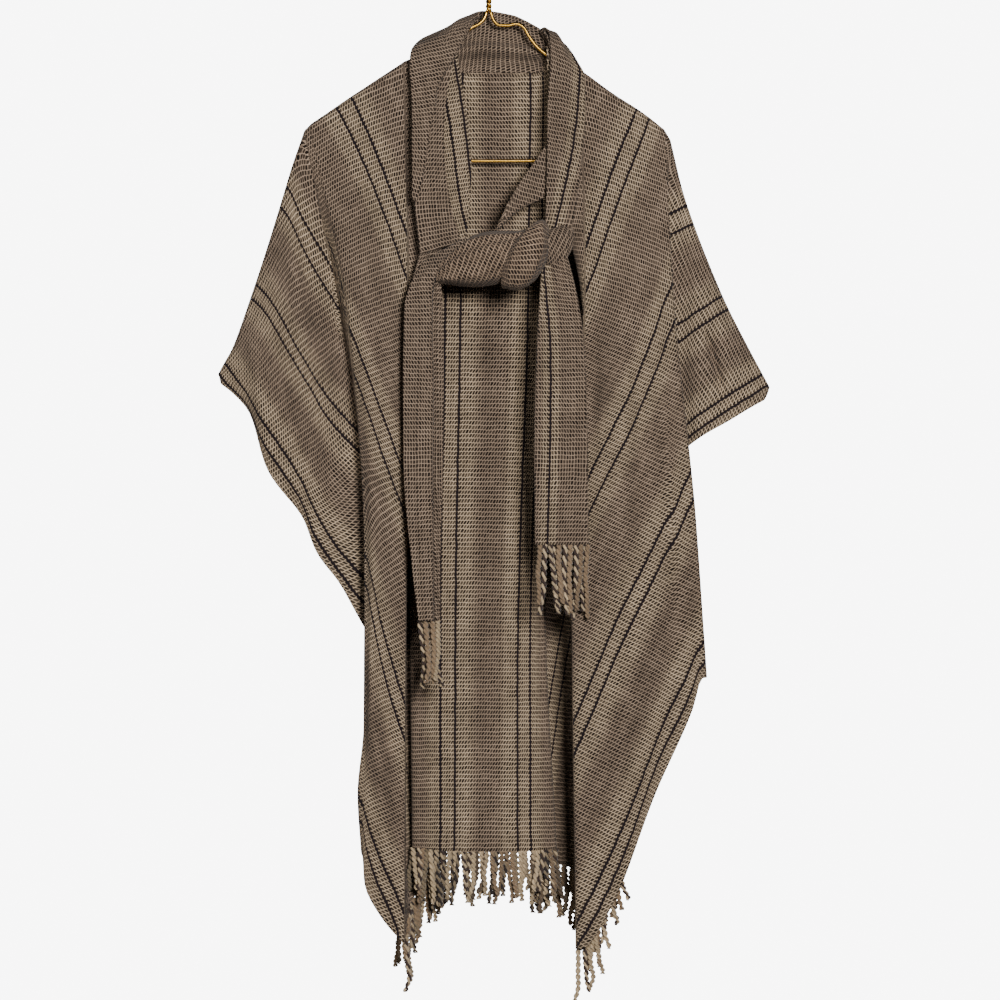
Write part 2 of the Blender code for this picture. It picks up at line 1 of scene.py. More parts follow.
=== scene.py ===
import math
import bpy
import numpy as np
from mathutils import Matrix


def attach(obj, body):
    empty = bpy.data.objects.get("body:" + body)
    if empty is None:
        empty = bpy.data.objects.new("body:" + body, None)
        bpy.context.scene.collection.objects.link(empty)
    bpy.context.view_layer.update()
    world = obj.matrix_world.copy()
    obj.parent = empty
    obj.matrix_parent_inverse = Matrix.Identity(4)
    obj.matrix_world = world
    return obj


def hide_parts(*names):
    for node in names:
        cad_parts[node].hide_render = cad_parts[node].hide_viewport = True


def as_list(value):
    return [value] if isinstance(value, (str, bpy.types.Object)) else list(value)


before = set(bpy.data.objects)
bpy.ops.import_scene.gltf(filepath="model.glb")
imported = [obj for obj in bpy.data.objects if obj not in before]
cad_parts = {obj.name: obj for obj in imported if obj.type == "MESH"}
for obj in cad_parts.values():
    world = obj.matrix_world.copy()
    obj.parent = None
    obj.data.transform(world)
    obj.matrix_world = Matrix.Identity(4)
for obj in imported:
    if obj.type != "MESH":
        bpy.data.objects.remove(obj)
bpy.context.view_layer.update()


# BODY CLOTH
# One coarse woven wool cloth, 1.10 m wide, with pairs of thin navy-black stripes along it. It is slit down the
# front, laid over the hanger's arms without a shoulder seam, and hangs in long folds with its corners lowest.
MM = 0.001
WOOL_THICKNESS = 1.7 * MM
YARN_PITCH = 3.4 * MM
ROW_PITCH = 5.0 * MM
FLOAT_LEAN = 0.7
YARN_WANDER = 2.8 * MM
STRIPE_PAIRS = ((39, 58), (174, 195), (309, 332), (426, 443), (528, 542))


def link(tree, value, socket):
    """Puts a number, a tuple or another node's output into a socket."""
    if isinstance(value, (int, float, tuple)):
        socket.default_value = value
    else:
        tree.links.new(value, socket)


def calc(tree, operation, *values):
    """One step of arithmetic on numbers or sockets."""
    node = tree.nodes.new("ShaderNodeMath")
    node.operation = operation
    for value, socket in zip(values, node.inputs):
        link(tree, value, socket)
    return node.outputs[0]


def product(tree, *values):
    """Numbers or sockets multiplied from left to right."""
    result = values[0]
    for value in values[1:]:
        result = calc(tree, "MULTIPLY", result, value)
    return result


def scaled(tree, value, factor, offset):
    """The value times the factor, plus the offset."""
    return calc(tree, "MULTIPLY_ADD", value, factor, offset)


def distance(tree, value, place):
    """How far the value lies from the place, to either side."""
    return calc(tree, "ABSOLUTE", calc(tree, "SUBTRACT", value, place))


def fade(tree, value, start, end):
    """0 below start, 1 above end and a smooth step between; the other way round where start is the larger."""
    node = tree.nodes.new("ShaderNodeMapRange")
    node.interpolation_type = "SMOOTHSTEP"
    for put, socket in ((value, "Value"), (start, "From Min"), (end, "From Max")):
        link(tree, put, node.inputs[socket])
    return node.outputs["Result"]


def blend_colours(tree, share, first, second, how="MIX"):
    """The first colour where share is 0 and the second, or its product with the first, where share is 1."""
    node = tree.nodes.new("ShaderNodeMix")
    node.data_type = "RGBA"
    node.blend_type = how
    link(tree, share, node.inputs[0])
    link(tree, first, node.inputs[6])
    link(tree, second, node.inputs[7])
    return node.outputs[2]


def darkened(tree, colour, shade, tints=(1, 1, 1)):
    """The colour times the shade, with a tint for each of red, green and blue."""
    grey = tree.nodes.new("ShaderNodeCombineColor")
    for socket, tint in zip(grey.inputs, tints):
        link(tree, calc(tree, "MULTIPLY", shade, tint), socket)
    return blend_colours(tree, 1.0, colour, grey.outputs[0], "MULTIPLY")


def noise(tree, place, scale, detail=2.0):
    """Soft patches about a place: scale of them to the metre, with finer ones laid over them detail times."""
    node = tree.nodes.new("ShaderNodeTexNoise")
    for put, socket in ((place, "Vector"), (scale, "Scale"), (detail, "Detail")):
        link(tree, put, node.inputs[socket])
    return node.outputs


def chance(tree, *numbers):
    """One random value from 0 to 1 for each whole step of one number or two."""
    node = tree.nodes.new("ShaderNodeTexWhiteNoise")
    whole = [calc(tree, "FLOOR", number) for number in numbers]
    if len(whole) == 1:
        node.noise_dimensions = "1D"
        link(tree, whole[0], node.inputs["W"])
    else:
        cell = tree.nodes.new("ShaderNodeCombineXYZ")
        for value, socket in zip(whole, cell.inputs):
            link(tree, value, socket)
        link(tree, cell.outputs[0], node.inputs["Vector"])
    return node.outputs["Value"]


def new_finish(name, roughness, sheen=0.0):
    """A new material, its node tree and its shader."""
    finish = bpy.data.materials.new(name)
    finish.use_nodes = True
    shader = finish.node_tree.nodes["Principled BSDF"]
    shader.inputs["Roughness"].default_value = roughness
    shader.inputs["Sheen Weight"].default_value = sheen
    return finish, finish.node_tree, shader


def emboss(tree, shader, relief, strength, height):
    """Shades a finish as if the relief stood up by its height in metres."""
    bump = tree.nodes.new("ShaderNodeBump")
    for put, socket in ((relief, "Height"), (strength, "Strength"), (height, "Distance")):
        link(tree, put, bump.inputs[socket])
    link(tree, bump.outputs[0], shader.inputs["Normal"])


def dye(red, green, blue):
    """A colour given as it looks, from 0 to 255, turned to the light it gives back."""
    parts = (np.array((red, green, blue)) / 255) ** 2.2
    return (*parts.tolist(), 1.0)


CREAM = dye(184, 161, 134)
TAUPE = dye(152, 131, 112)
DARK_YARN = dye(24, 16, 11)
STRIPE_YARN = dye(29, 22, 25)


def woven_wool(name, pairs, warmth=1.0, band=0.030, depth=1.0):
    """The cloth's colour and relief at (u, v), its place in metres across and along the cloth.

    Rows of short slanted dark floats repeat every yarn pitch across and every row pitch along, and lean the other
    way below a quarter of a metre. Between them the ground shows, cream near a pair of stripes and taupe elsewhere.
    A stripe is dark and bulges at every row. The ground carries painted shade: darker across the middle of each row
    of floats and along each column of floats, lighter between them.
    """
    finish, tree, shader = new_finish(name, 0.93, 0.05)
    shader.inputs["Specular IOR Level"].default_value = 0.2
    shader.inputs["Sheen Roughness"].default_value = 0.5
    place = tree.nodes.new("ShaderNodeUVMap")
    place.uv_map = "cloth"
    place = place.outputs[0]
    wandering = tree.nodes.new("ShaderNodeVectorMath")
    wandering.operation = "MULTIPLY_ADD"
    wander = noise(tree, place, 70.0, 3.0)["Color"]
    for put, socket in zip((wander, (YARN_WANDER, YARN_WANDER, 0.0), place), wandering.inputs):
        link(tree, put, socket)
    split = tree.nodes.new("ShaderNodeSeparateXYZ")
    link(tree, wandering.outputs[0], split.inputs[0])
    u, v = split.outputs[0], split.outputs[1]
    along = calc(tree, "DIVIDE", v, ROW_PITCH)
    in_row = calc(tree, "SUBTRACT", calc(tree, "FRACT", along), 0.5)
    from_row = calc(tree, "ABSOLUTE", in_row)
    slant = product(tree, in_row, scaled(tree, fade(tree, v, 0.20, 0.30), -2 * FLOAT_LEAN, FLOAT_LEAN))
    across = calc(tree, "SUBTRACT", calc(tree, "DIVIDE", u, YARN_PITCH), slant)
    from_float = distance(tree, calc(tree, "FRACT", across), 0.5)
    narrow = fade(tree, from_float, 0.42, 0.31)
    short = fade(tree, from_row, 0.46, 0.36)
    float_mask = product(tree, narrow, short, scaled(tree, chance(tree, across, along), 0.22, 0.78))

    side = calc(tree, "ABSOLUTE", u)
    nearest, pair_middle = 1.0, 1.0
    for inner, outer in pairs:
        for stripe in (inner, outer):
            nearest = calc(tree, "MINIMUM", nearest, distance(tree, side, stripe * MM))
        pair_middle = calc(tree, "MINIMUM", pair_middle, distance(tree, side, (inner + outer) / 2 * MM))
    bulge = scaled(tree, fade(tree, from_row, 0.35, 0.15), 0.0006, 0.0012)
    stripe_mask = fade(tree, calc(tree, "SUBTRACT", nearest, bulge), 0.0006, -0.0004)
    cream_band = fade(tree, pair_middle, band * 1.3, band * 0.7)

    fuzz = noise(tree, place, 900.0, 3.0)["Fac"]
    patchy = scaled(tree, noise(tree, place, 26.0, 5.0)["Fac"], 0.9 * depth, 0.55 * depth)
    # Painted shade on the ground: darker across the middle of each row and along each column of floats, lighter in
    # between.
    painted_row_shade = scaled(tree, fade(tree, from_row, 0.22, 0.42), 0.22, 0.78)
    painted_column_shade = scaled(tree, fade(tree, from_float, 0.34, 0.50), 0.16, 0.92)
    shade = product(tree, patchy, scaled(tree, fuzz, 0.7, 0.65), painted_row_shade, painted_column_shade)
    for line, spread in ((across, 0.24), (along, 0.14)):
        shade = product(tree, shade, scaled(tree, chance(tree, line), spread, 1 - spread / 2))
    ground = blend_colours(tree, cream_band, TAUPE, CREAM)
    ground = darkened(tree, ground, shade, (warmth, 1.0, 2 - warmth))
    colour = blend_colours(tree, float_mask, ground, DARK_YARN)
    link(tree, blend_colours(tree, stripe_mask, colour, STRIPE_YARN), shader.inputs["Base Color"])

    relief = calc(tree, "SUBTRACT", product(tree, from_row, 1.4), product(tree, float_mask, 0.5))
    emboss(tree, shader, calc(tree, "ADD", relief, product(tree, fuzz, 0.6)), 0.7, 0.0007)
    return finish


def smooth_through(knots, values, places):
    """Values at the places on a smooth curve through the knots, which never swings past a knot's own value.

    It is a cubic between each two knots. The slope at a knot is the harmonic mean of the slopes on its two sides,
    and nought where they differ in sign.
    """
    knots, values, places = (np.asarray(a, float) for a in (knots, values, places))
    steps = np.diff(knots)
    shape = (-1,) + (1,) * (values.ndim - 1)
    rise = np.diff(values, axis=0) / steps.reshape(shape)
    slopes = np.zeros_like(values)
    before, after = rise[:-1], rise[1:]
    same_way = before * after > 0
    total = np.where(same_way, before + after, 1.0)
    slopes[1:-1] = np.where(same_way, 2 * before * after / total, 0.0)
    slopes[0], slopes[-1] = rise[0], rise[-1]
    span = np.clip(np.searchsorted(knots, places, side="right") - 1, 0, len(steps) - 1)
    t = ((places - knots[span]) / steps[span]).reshape(shape)
    width = steps[span].reshape(shape)
    start, end = values[span], values[span + 1]
    return (
        start * (2 * t**3 - 3 * t**2 + 1)
        + end * (3 * t**2 - 2 * t**3)
        + width * (slopes[span] * (t**3 - 2 * t**2 + t) + slopes[span + 1] * (t**3 - t**2))
    )


def lengths_along(points):
    """The distance run from the first point to each point of a line."""
    return np.concatenate(((0,), np.cumsum(np.linalg.norm(np.diff(points, axis=0), axis=1))))


# The garment's fold lines, from its top edge down to its lower edge: name, the radius of the fold (0 where the cloth
# runs on, positive where it turns from the outside in), stations of (x, drop from the hook's seat, y) in millimetres,
# and how far across the cloth each station lies from its centre, in the same unit.
LEFT_FOLDS = (
    ("slit_edge", 0, (-37, 131, -7), (-18, 281, -26), (-24, 357, -24), (-105, 500, -12), (-115, 900, -8),
     (-90, 1141, -12), (33, 26, 45, 190, 380, 500)),
    ("inner_fold", -6, (-96, 154, -7), (-91, 410, -24), (-94, 784, -26), (-96, 1186, -22), (96, 174, 359, 545)),
    ("crown", 0, (-143, 185, -7), (-122, 433, -34), (-121, 737, -42), (-124, 1151, -30), (153, 240, 393, 550)),
    ("crown_outer", 0, (-174, 206, -7), (-142, 445, -33), (-132, 737, -42), (-142, 1114, -28), (191, 278, 419, 550)),
    ("outer_ridge", 5, (-205, 227, -7), (-160, 456, -27), (-142, 737, -30), (-143, 930, -27), (-150, 1010, -25),
     (-146, 1077, -22), (229, 316, 445, 504, 530, 550)),
    ("hidden_valley", 4, (-213, 235, -6), (-176, 421, -4), (-128, 700, -3), (-125, 832, -3), (241, 302, 497, 550)),
    ("sleeve_fold_1", 0, (-228, 278, -6), (-207, 433, -10), (-180, 644, -5), (-174, 762, -4), (287, 363, 480, 550)),
    ("sleeve_curl", 0, (-238, 311, -6), (-220, 450, -20), (-205, 620, -17), (-199, 728, -12), (321, 397, 496, 550)),
    ("sleeve_fold_2", 0, (-253, 360, -6), (-238, 480, -23), (-226, 590, -18), (-214, 690, -10), (372, 445, 510, 550)),
    ("sleeve_fold_3", 0, (-277, 433, -5), (-268, 506, -19), (-262, 570, -20), (-256, 632, -14), (447, 494, 525, 550)),
    ("sleeve_fold_4", 0, (-298, 491, -4), (-290, 520, -12), (-284, 543, -13), (-277, 565, -9), (510, 525, 538, 550)),
    ("sleeve_fold_5", 0, (-307, 507, -4), (-303, 519, -7), (-300, 530, -8), (-296, 543, -7), (528, 536, 543, 550)),
    ("sleeve_tip", 0, (-314, 520, -3), (-313, 523, -4), (-312, 527, -4), (-311, 531, -4), (547, 548, 549, 550)),
)
RIGHT_FOLDS = (
    ("slit_edge", 0, (69, 136, -7), (76, 257, -16), (121, 480, -9), (157, 1100, -6), (40, 53, 140, 386)),
    ("inner_fold", -6, (109, 164, -7), (113, 433, -26), (99, 784, -26), (104, 1190, -20), (94, 185, 357, 545)),
    ("crown_inner", 0, (146, 191, -7), (153, 433, -36), (158, 784, -44), (146, 1138, -30), (136, 240, 424, 550)),
    ("crown_outer", 0, (183, 215, -7), (191, 433, -34), (212, 784, -36), (197, 1007, -26), (179, 287, 473, 550)),
    ("crown_edge", 0, (195, 224, -7), (206, 433, -31), (230, 745, -31), (240, 910, -22), (205, 305, 466, 550)),
    ("outer_ridge", 5, (207, 234, -7), (217, 433, -26), (243, 690, -24), (256, 874, -17), (228, 324, 456, 550)),
    ("hidden_valley", 4, (214, 246, -6), (208, 340, -10), (184, 560, -10), (179, 690, -9), (224, 312, 488, 550)),
    ("sleeve_fold_1", 0, (228, 304, -6), (230, 421, -10), (225, 526, -5), (228, 611, -4), (292, 392, 480, 550)),
    ("sleeve_fold_2", 0, (249, 365, -6), (249, 445, -20), (249, 515, -20), (252, 592, -14), (353, 424, 483, 550)),
    ("sleeve_fold_3", 0, (278, 435, -5), (278, 474, -16), (278, 526, -18), (280, 576, -14), (432, 468, 511, 550)),
    ("sleeve_fold_4", 0, (308, 494, -4), (308, 514, -11), (308, 537, -12), (308, 559, -9), (496, 515, 532, 550)),
    ("sleeve_tip", 0, (330, 535, -3), (329, 540, -4), (327, 545, -4), (324, 550, -4), (546, 548, 549, 550)),
)
BACK_FOLDS = (
    ("crown", 0, (-143, 185, 7), (-125, 433, 36), (-113, 784, 46), (-106, 1160, 32), (-153, -240, -386, -550)),
    ("outside_fold", 6, (-73, 145, 7), (-86, 433, 36), (-58, 784, 49), (-50, 1092, 44), (-87, -129, -211, -269)),
    ("inside_turn", 5, (-64, 142, 7), (-76, 433, 22), (-90, 784, 26), (-88, 1076, 26), (-77, -88, -91, -91)),
    ("left_of_neck", 0, (-38, 165, 20), (-42, 433, 22), (-47, 784, 27), (-50, 1080, 26), (-49, -49, -49, -49)),
    ("centre", 0, (12, 165, 22), (10, 433, 24), (4, 784, 28), (1, 1081, 26), (0, 0, 0, 0)),
    ("right_of_neck", 0, (60, 165, 20), (63, 433, 22), (55, 784, 27), (51, 1080, 26), (44, 48, 49, 49)),
    ("inside_turn", -5, (76, 142, 7), (72, 433, 22), (68, 784, 26), (81, 1078, 26), (77, 75, 70, 84)),
    ("outside_fold", -6, (84, 147, 7), (86, 433, 36), (58, 784, 49), (54, 1096, 44), (87, 129, 211, 269)),
    ("under_right", 0, (100, 158, 7), (112, 433, 40), (100, 784, 54), (96, 1100, 46), (107, 165, 320, 420)),
    ("crown_inner", 0, (146, 191, 7), (153, 433, 38), (155, 784, 50), (128, 1164, 32), (136, 240, 424, 550)),
    ("crown_outer", 0, (183, 215, 7), (191, 433, 36), (206, 784, 38), (186, 1000, 28), (179, 287, 473, 550)),
)
BELOW_THE_NECK = ("left_of_neck", "centre", "right_of_neck")
OUT_OF_SIGHT = ("hidden_valley", "inner_fold", "outside_fold")
BACK_SIDE_RISE = 9
SHOULDER_ROLL = 7 * MM
EDGE_GAP = 0.3 * MM
ROWS = 201
ROLL_ROWS = 10
COLUMN_STEP = 6.4 * MM


def hanging_line(name, stations, widths, side):
    """One fold line of the cloth as rows of (x, y, z, u, v).

    A smooth curve runs through the stations. A line that starts on the hanger's arm leaves it as a quarter circle.
    The place along the cloth, v, grows by the root of the step's length squared less u's step squared.
    """
    knots = np.array([(x, y, -drop) for x, drop, y in stations]) * MM
    lengths = lengths_along(knots)
    total = lengths[-1]
    roll = SHOULDER_ROLL * min(1.0, total / 0.040)
    over = (1 - np.cos(np.linspace(0, math.pi / 2, ROLL_ROWS))) * roll
    run = np.concatenate((over, np.linspace(roll, total, ROWS - ROLL_ROWS + 1)[1:]))
    line = smooth_through(lengths, knots, run)
    across = smooth_through(lengths, np.array(widths) * MM, run)
    if name not in BELOW_THE_NECK:
        inward = 1 - np.minimum(run / roll, 1)
        edge = side * EDGE_GAP / 2
        line[:, 1] = edge + (line[:, 1] - edge) * np.sqrt(1 - inward**2)
    step = np.diff(lengths_along(line))
    down = np.sqrt(np.maximum(step**2 - np.diff(across) ** 2, (0.3 * step) ** 2))
    return np.column_stack((line, across, np.concatenate(((0,), np.cumsum(down)))))


def rounded(lines, turns, side):
    """The fold lines with each turn made half a circle, by one more line before it and one after it."""
    rows = []
    for index, (line, turn) in enumerate(zip(lines, turns)):
        if not turn:
            rows.append(line)
            continue
        before, after = lines[index - 1] - line, lines[index + 1] - line
        nearer = np.minimum(abs(before[:, :1]), abs(after[:, :1]))
        folded = np.where(before[:, :1] * after[:, :1] > 0, nearer, 0)
        opened = np.clip(folded / (3.5 * abs(turn) * MM), 0, 1)
        for way, level in ((before, side * turn), (after, -side * turn)):
            reach = np.linalg.norm(way[:, :3], axis=1, keepdims=True)
            flat = np.minimum(0.25, 8 * MM / reach) * (1 - opened)
            share = np.clip(flat + opened * 1.4 * abs(turn) * MM / reach, 0, 0.5)
            place = line + way * flat
            place[:, :1] += np.sign(before[:, :1]) * abs(turn) * MM * opened
            place[:, 1:2] += level * MM * opened
            place[:, 3:] = line[:, 3:] + way[:, 3:] * share
            rows.append(place)
            if way is before:
                rows.append(line)
    return np.array(rows)


def hanging_cloth(folds, side):
    """A panel's middle surface (x, y, z) and its cloth places (u, v), smooth curves across its fold lines."""
    lines = [hanging_line(row[0], row[2:-1], row[-1], side) for row in folds]
    lines = rounded(lines, [row[1] for row in folds], side)
    spacing = np.linalg.norm(np.diff(lines[:, :, :3], axis=0), axis=2).mean(axis=1)
    knots = np.concatenate(((0,), np.cumsum(spacing)))
    cuts = np.maximum(3, np.ceil(spacing / COLUMN_STEP).astype(int))
    places = np.concatenate([knots[k] + spacing[k] * np.arange(n) / n for k, n in enumerate(cuts)] + [knots[-1:]])
    grid = smooth_through(knots, lines, places).transpose(1, 0, 2)
    names = [row[0] for row in folds]
    shift = np.cumsum([0] + [2 * bool(row[1]) for row in folds])
    turns = [index + shift[index] + 1 for index, name in enumerate(names) if name in OUT_OF_SIGHT]
    if side < 0:
        turns += [index + shift[index] + 2 for index, name in enumerate(names) if name == "outer_ridge"]
    cuts = [int(np.argmin(abs(places - knots[turn]))) for turn in sorted(turns)]
    return grid[..., :3], grid[..., 3:], cuts


def settled(grid, places, reach=0.025, cuts=(), rounds=60):
    """The cloth places spread so that rows and columns keep their pitch, near the ones they start from.

    It is worked out on few rows first and then on more, each time from the last result.
    """
    last, now = len(grid) - 1, places
    for step, turns in ((8, rounds), (4, rounds // 4), (2, 4)):
        rows = np.unique(np.linspace(0, last, last // step + 1).round().astype(int))
        now = relaxed(grid[rows], places[rows], now[rows], reach, turns, list(cuts))
        now = smooth_through(rows, now, np.arange(last + 1))
    return now


def relaxed(grid, places, now, reach, rounds, cuts):
    """The cloth places after some rounds of settling.

    Each round turns every cell's own steps in (u, v) to the nearest turn of its true size. It then solves
    sum w (p_b - p_a - turned step)^2 + sum area / reach^2 (u - start)^2, row by row, for the places p. Last, v is
    solved for alone with each cell turned to u's own direction, so that the rows lie square to the stripes. The
    cloth is let go at the cuts, which are columns that lie out of sight.
    """
    rows, columns = grid.shape[:2]
    start = places[..., 0]

    def steps(values):
        side = values[:, 1:] - values[:, :-1]
        down = values[1:] - values[:-1]
        return (side[1:] + side[:-1]) / 2, (down[:, 1:] + down[:, :-1]) / 2

    side, down = steps(grid)
    long_side = np.linalg.norm(side, axis=2) + 1e-6
    first = side / long_side[..., None]
    down_first = (down * first).sum(axis=2)
    down_second = np.sqrt(np.maximum((down**2).sum(axis=2) - down_first**2, 1e-12)) + 1e-6
    area = long_side * down_second

    def to_edges(cells, axis):
        pad = [(0, 0), (0, 0)]
        pad[axis] = (1, 1)
        wide = np.pad(cells, pad, mode="edge")
        return (wide[1:] + wide[:-1]) / 2 if axis == 0 else (wide[:, 1:] + wide[:, :-1]) / 2

    side_weight = to_edges(down_second / long_side, 0)
    down_weight = to_edges(long_side / down_second, 1)
    side_weight[:, cuts] *= 1e-4
    side_weight[(0, -1), :] /= 2
    down_weight[:, (0, -1)] /= 2
    hold = to_edges(to_edges(area, 0), 1)[:rows, :columns] / reach**2

    def solver(anchor):
        upper = np.zeros((rows, columns, columns))
        middle = np.zeros((rows, columns, columns))
        k = np.arange(columns)
        middle[:, k, k] += anchor
        middle[:, k[:-1], k[:-1]] += side_weight
        middle[:, k[1:], k[1:]] += side_weight
        middle[:, k[:-1], k[1:]] -= side_weight
        middle[:, k[1:], k[:-1]] -= side_weight
        middle[:-1, k, k] += down_weight
        middle[1:, k, k] += down_weight
        for r in range(rows):
            if r:
                middle[r] -= down_weight[r - 1][:, None] * upper[r - 1] * down_weight[r - 1][None]
            upper[r] = np.linalg.inv(middle[r])

        def solve(load):
            load = load.copy()
            for r in range(1, rows):
                load[r] += down_weight[r - 1] * (upper[r - 1] @ load[r - 1])
            load[-1] = upper[-1] @ load[-1]
            for r in range(rows - 2, -1, -1):
                load[r] = upper[r] @ (load[r] + down_weight[r] * load[r + 1])
            return load

        return solve

    top = np.zeros((rows, columns))
    top[0] = hold[0] * 4 + 1e-6
    solve_u, solve_v = solver(hold + 1e-9), solver(top + 1e-9)
    u, v, v_start = now[..., 0], now[..., 1], places[..., 1]
    for left in range(rounds, -1, -1):
        (u_side, u_down), (v_side, v_down) = steps(u), steps(v)
        a, c = u_side / long_side, v_side / long_side
        b = (u_down - a * down_first) / down_second
        d = (v_down - c * down_first) / down_second
        turn = np.arctan2(c - b, a + d) if left else np.arctan2(-b, a)
        cosine, sine = np.cos(turn), np.sin(turn)
        solved = []
        for along, square, anchor, rest, solve in (
            (cosine, -sine, hold, start, solve_u), (sine, cosine, top, v_start, solve_v)
        ):
            side_pull = side_weight * to_edges(along * long_side, 0)
            down_pull = down_weight * to_edges(along * down_first + square * down_second, 1)
            load = anchor * rest
            load[:, 1:] += side_pull
            load[:, :-1] -= side_pull
            load[1:] += down_pull
            load[:-1] -= down_pull
            solved.append(solve(load))
        u, v = solved if left else (u, solved[1])
    return np.stack((u, v), axis=-1)


def crease(grid, start, end, width, depth):
    """The height of one soft crease on a grid of points: a bell across the line from start to end, in (x, drop)
    millimetres, that fades out smoothly at its two ends."""
    start, end = (np.array((x, -drop)) * MM for x, drop in (start, end))
    flat = grid[..., (0, 2)] - start
    run = end - start
    length = np.linalg.norm(run)
    run = run / length
    along = flat @ run / length
    off = flat[..., 0] * run[1] - flat[..., 1] * run[0]
    taper = np.sin(math.pi * np.clip(along, 0, 1)) ** 0.6
    return depth * MM * taper * np.exp(-((off / (width * MM)) ** 2))


def unevenness(places, seed, height):
    """The slow unevenness of a hanging cloth: a sum of waves across and along it, with wandering directions."""
    rng = np.random.default_rng(seed)
    rise = np.zeros(places.shape[:2])
    for wave in np.geomspace(0.24, 0.045, 9):
        turn = rng.uniform(-0.5, 0.5)
        phase = rng.uniform(0, 2 * math.pi, 2)
        carrier = (places[..., 0] * math.cos(turn) + places[..., 1] * math.sin(turn)) * 2 * math.pi / wave
        swell = np.cos(places[..., 1] * 2 * math.pi / (2.6 * wave) + phase[1])
        rise += (wave / 0.24) ** 0.8 * np.sin(carrier + phase[0]) * (0.6 + 0.4 * swell)
    return rise * height * MM


def unit_normals(grid):
    """Unit directions square to a grid of points, from its rows and its columns."""
    normals = np.cross(np.gradient(grid, axis=1), np.gradient(grid, axis=0))
    return normals / np.maximum(np.linalg.norm(normals, axis=2, keepdims=True), 1e-12)


def grid_faces(rows, columns, offset=0, flip=False):
    """The four-cornered faces of a grid of points stored row by row."""
    first = offset + np.arange(rows - 1)[:, None] * columns + np.arange(columns - 1)
    faces = np.stack((first, first + 1, first + columns + 1, first + columns), axis=-1).reshape(-1, 4)
    return faces[:, ::-1] if flip else faces


def rim_faces(rows, columns, offset):
    """The faces that close the border between two equal grids, the second stored offset points after the first."""
    top = np.arange(columns)
    right = np.arange(1, rows) * columns + columns - 1
    bottom = (rows - 1) * columns + np.arange(columns - 2, -1, -1)
    left = np.arange(rows - 2, -1, -1) * columns
    loop = np.concatenate((top, right, bottom, left))
    first, second = loop[:-1], loop[1:]
    return np.stack((first, first + offset, second + offset, second), axis=-1)


def wall_parts(grid, places, thickness=WOOL_THICKNESS):
    """The points, faces and cloth places of a closed piece of cloth, half its thickness to each side of a grid.

    Where its first row meets the next cloth on the hanger's arm, the wall is upright.
    """
    rows, columns = grid.shape[:2]
    normals = unit_normals(grid)
    meets = np.abs(grid[0, :, 1]) < EDGE_GAP
    normals[0, meets, 1] = 0
    normals[0] /= np.linalg.norm(normals[0], axis=1, keepdims=True)
    count = rows * columns
    points = np.vstack([(grid + half * normals * thickness / 2).reshape(-1, 3) for half in (1, -1)])
    faces = (
        grid_faces(rows, columns), grid_faces(rows, columns, count, True), rim_faces(rows, columns, count)
    )
    return points, np.vstack(faces), np.tile(places.reshape(-1, 2), (2, 1))


def joined(*parts):
    """Several closed parts, each of points, faces and one more array for the points, as one."""
    starts = np.cumsum([0] + [len(points) for points, _, _ in parts])
    return (
        np.vstack([points for points, _, _ in parts]),
        np.vstack([faces + start for (_, faces, _), start in zip(parts, starts)]),
        np.vstack([more for _, _, more in parts]),
    )


def in_scene(name, data):
    """A new object of the scene, at the origin."""
    thing = bpy.data.objects.new(name, data)
    bpy.context.scene.collection.objects.link(thing)
    return thing


def new_piece(name, node, points, faces, finish):
    """A new object from arrays of points and four-cornered faces, smooth shaded, in place of a node of the body."""
    mesh = bpy.data.meshes.new(name)
    mesh.from_pydata(points.tolist(), [], faces.tolist())
    mesh.shade_smooth()
    mesh.materials.append(finish)
    piece = in_scene(name, mesh)
    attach(piece, "root")
    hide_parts(node)
    return piece


def cloth_piece(name, node, parts, finish):
    """A new piece of cloth with its places across and along the cloth as its own map."""
    points, faces, places = parts
    piece = new_piece(name, node, points, faces, finish)
    layer = piece.data.uv_layers.new(name="cloth")
    layer.data.foreach_set("uv", places[faces.ravel()].ravel())
    return piece


def turned_to_back(folds):
    """A front's side folds for the back: their depths change sign and they hang a little shorter."""
    rows = []
    for name, turn, *stations, widths in folds:
        turned = [(x - 3 * math.copysign(1, x), drop, -y) for x, drop, y in stations]
        turned[0] = (stations[0][0], stations[0][1], -stations[0][2])
        x, drop, y = turned[-1]
        if name != "sleeve_tip":
            turned[-1] = (x, drop - BACK_SIDE_RISE, y)
        rows.append((name, turn, *turned, widths))
    return rows


back_left = [
    (name, -turn, *stations, tuple(-width for width in widths))
    for name, turn, *stations, widths in reversed(turned_to_back(LEFT_FOLDS[4:]))
]
back_right = turned_to_back(RIGHT_FOLDS[5:])
# Each crease: its two ends as (x, drop), its half width and its height to the outside, all in millimetres.
LEFT_CREASES = (
    ((-196, 250), (-156, 660), 13, -6), ((-236, 333), (-184, 597), 12, 4), ((-263, 421), (-219, 632), 12, -4),
    ((-277, 468), (-252, 614), 8, 3), ((-154, 474), (-259, 579), 7, 3), ((-119, 257), (-108, 690), 14, 4),
    ((-135, 737), (-99, 1088), 8, -3), ((-139, 831), (-111, 1135), 7, 3),
)
RIGHT_CREASES = (
    ((197, 503), (212, 690), 12, -4), ((128, 468), (118, 644), 9, -3.5), ((167, 351), (146, 831), 20, 4),
    ((238, 690), (247, 831), 9, -4), ((191, 737), (138, 1041), 16, 4), ((156, 831), (120, 1135), 10, -3),
    ((257, 472), (276, 546), 4.5, -8), ((249, 363), (290, 538), 9, 3),
    ((174, 470), (180, 740), 11, -5), ((224, 715), (212, 870), 13, -5),
)
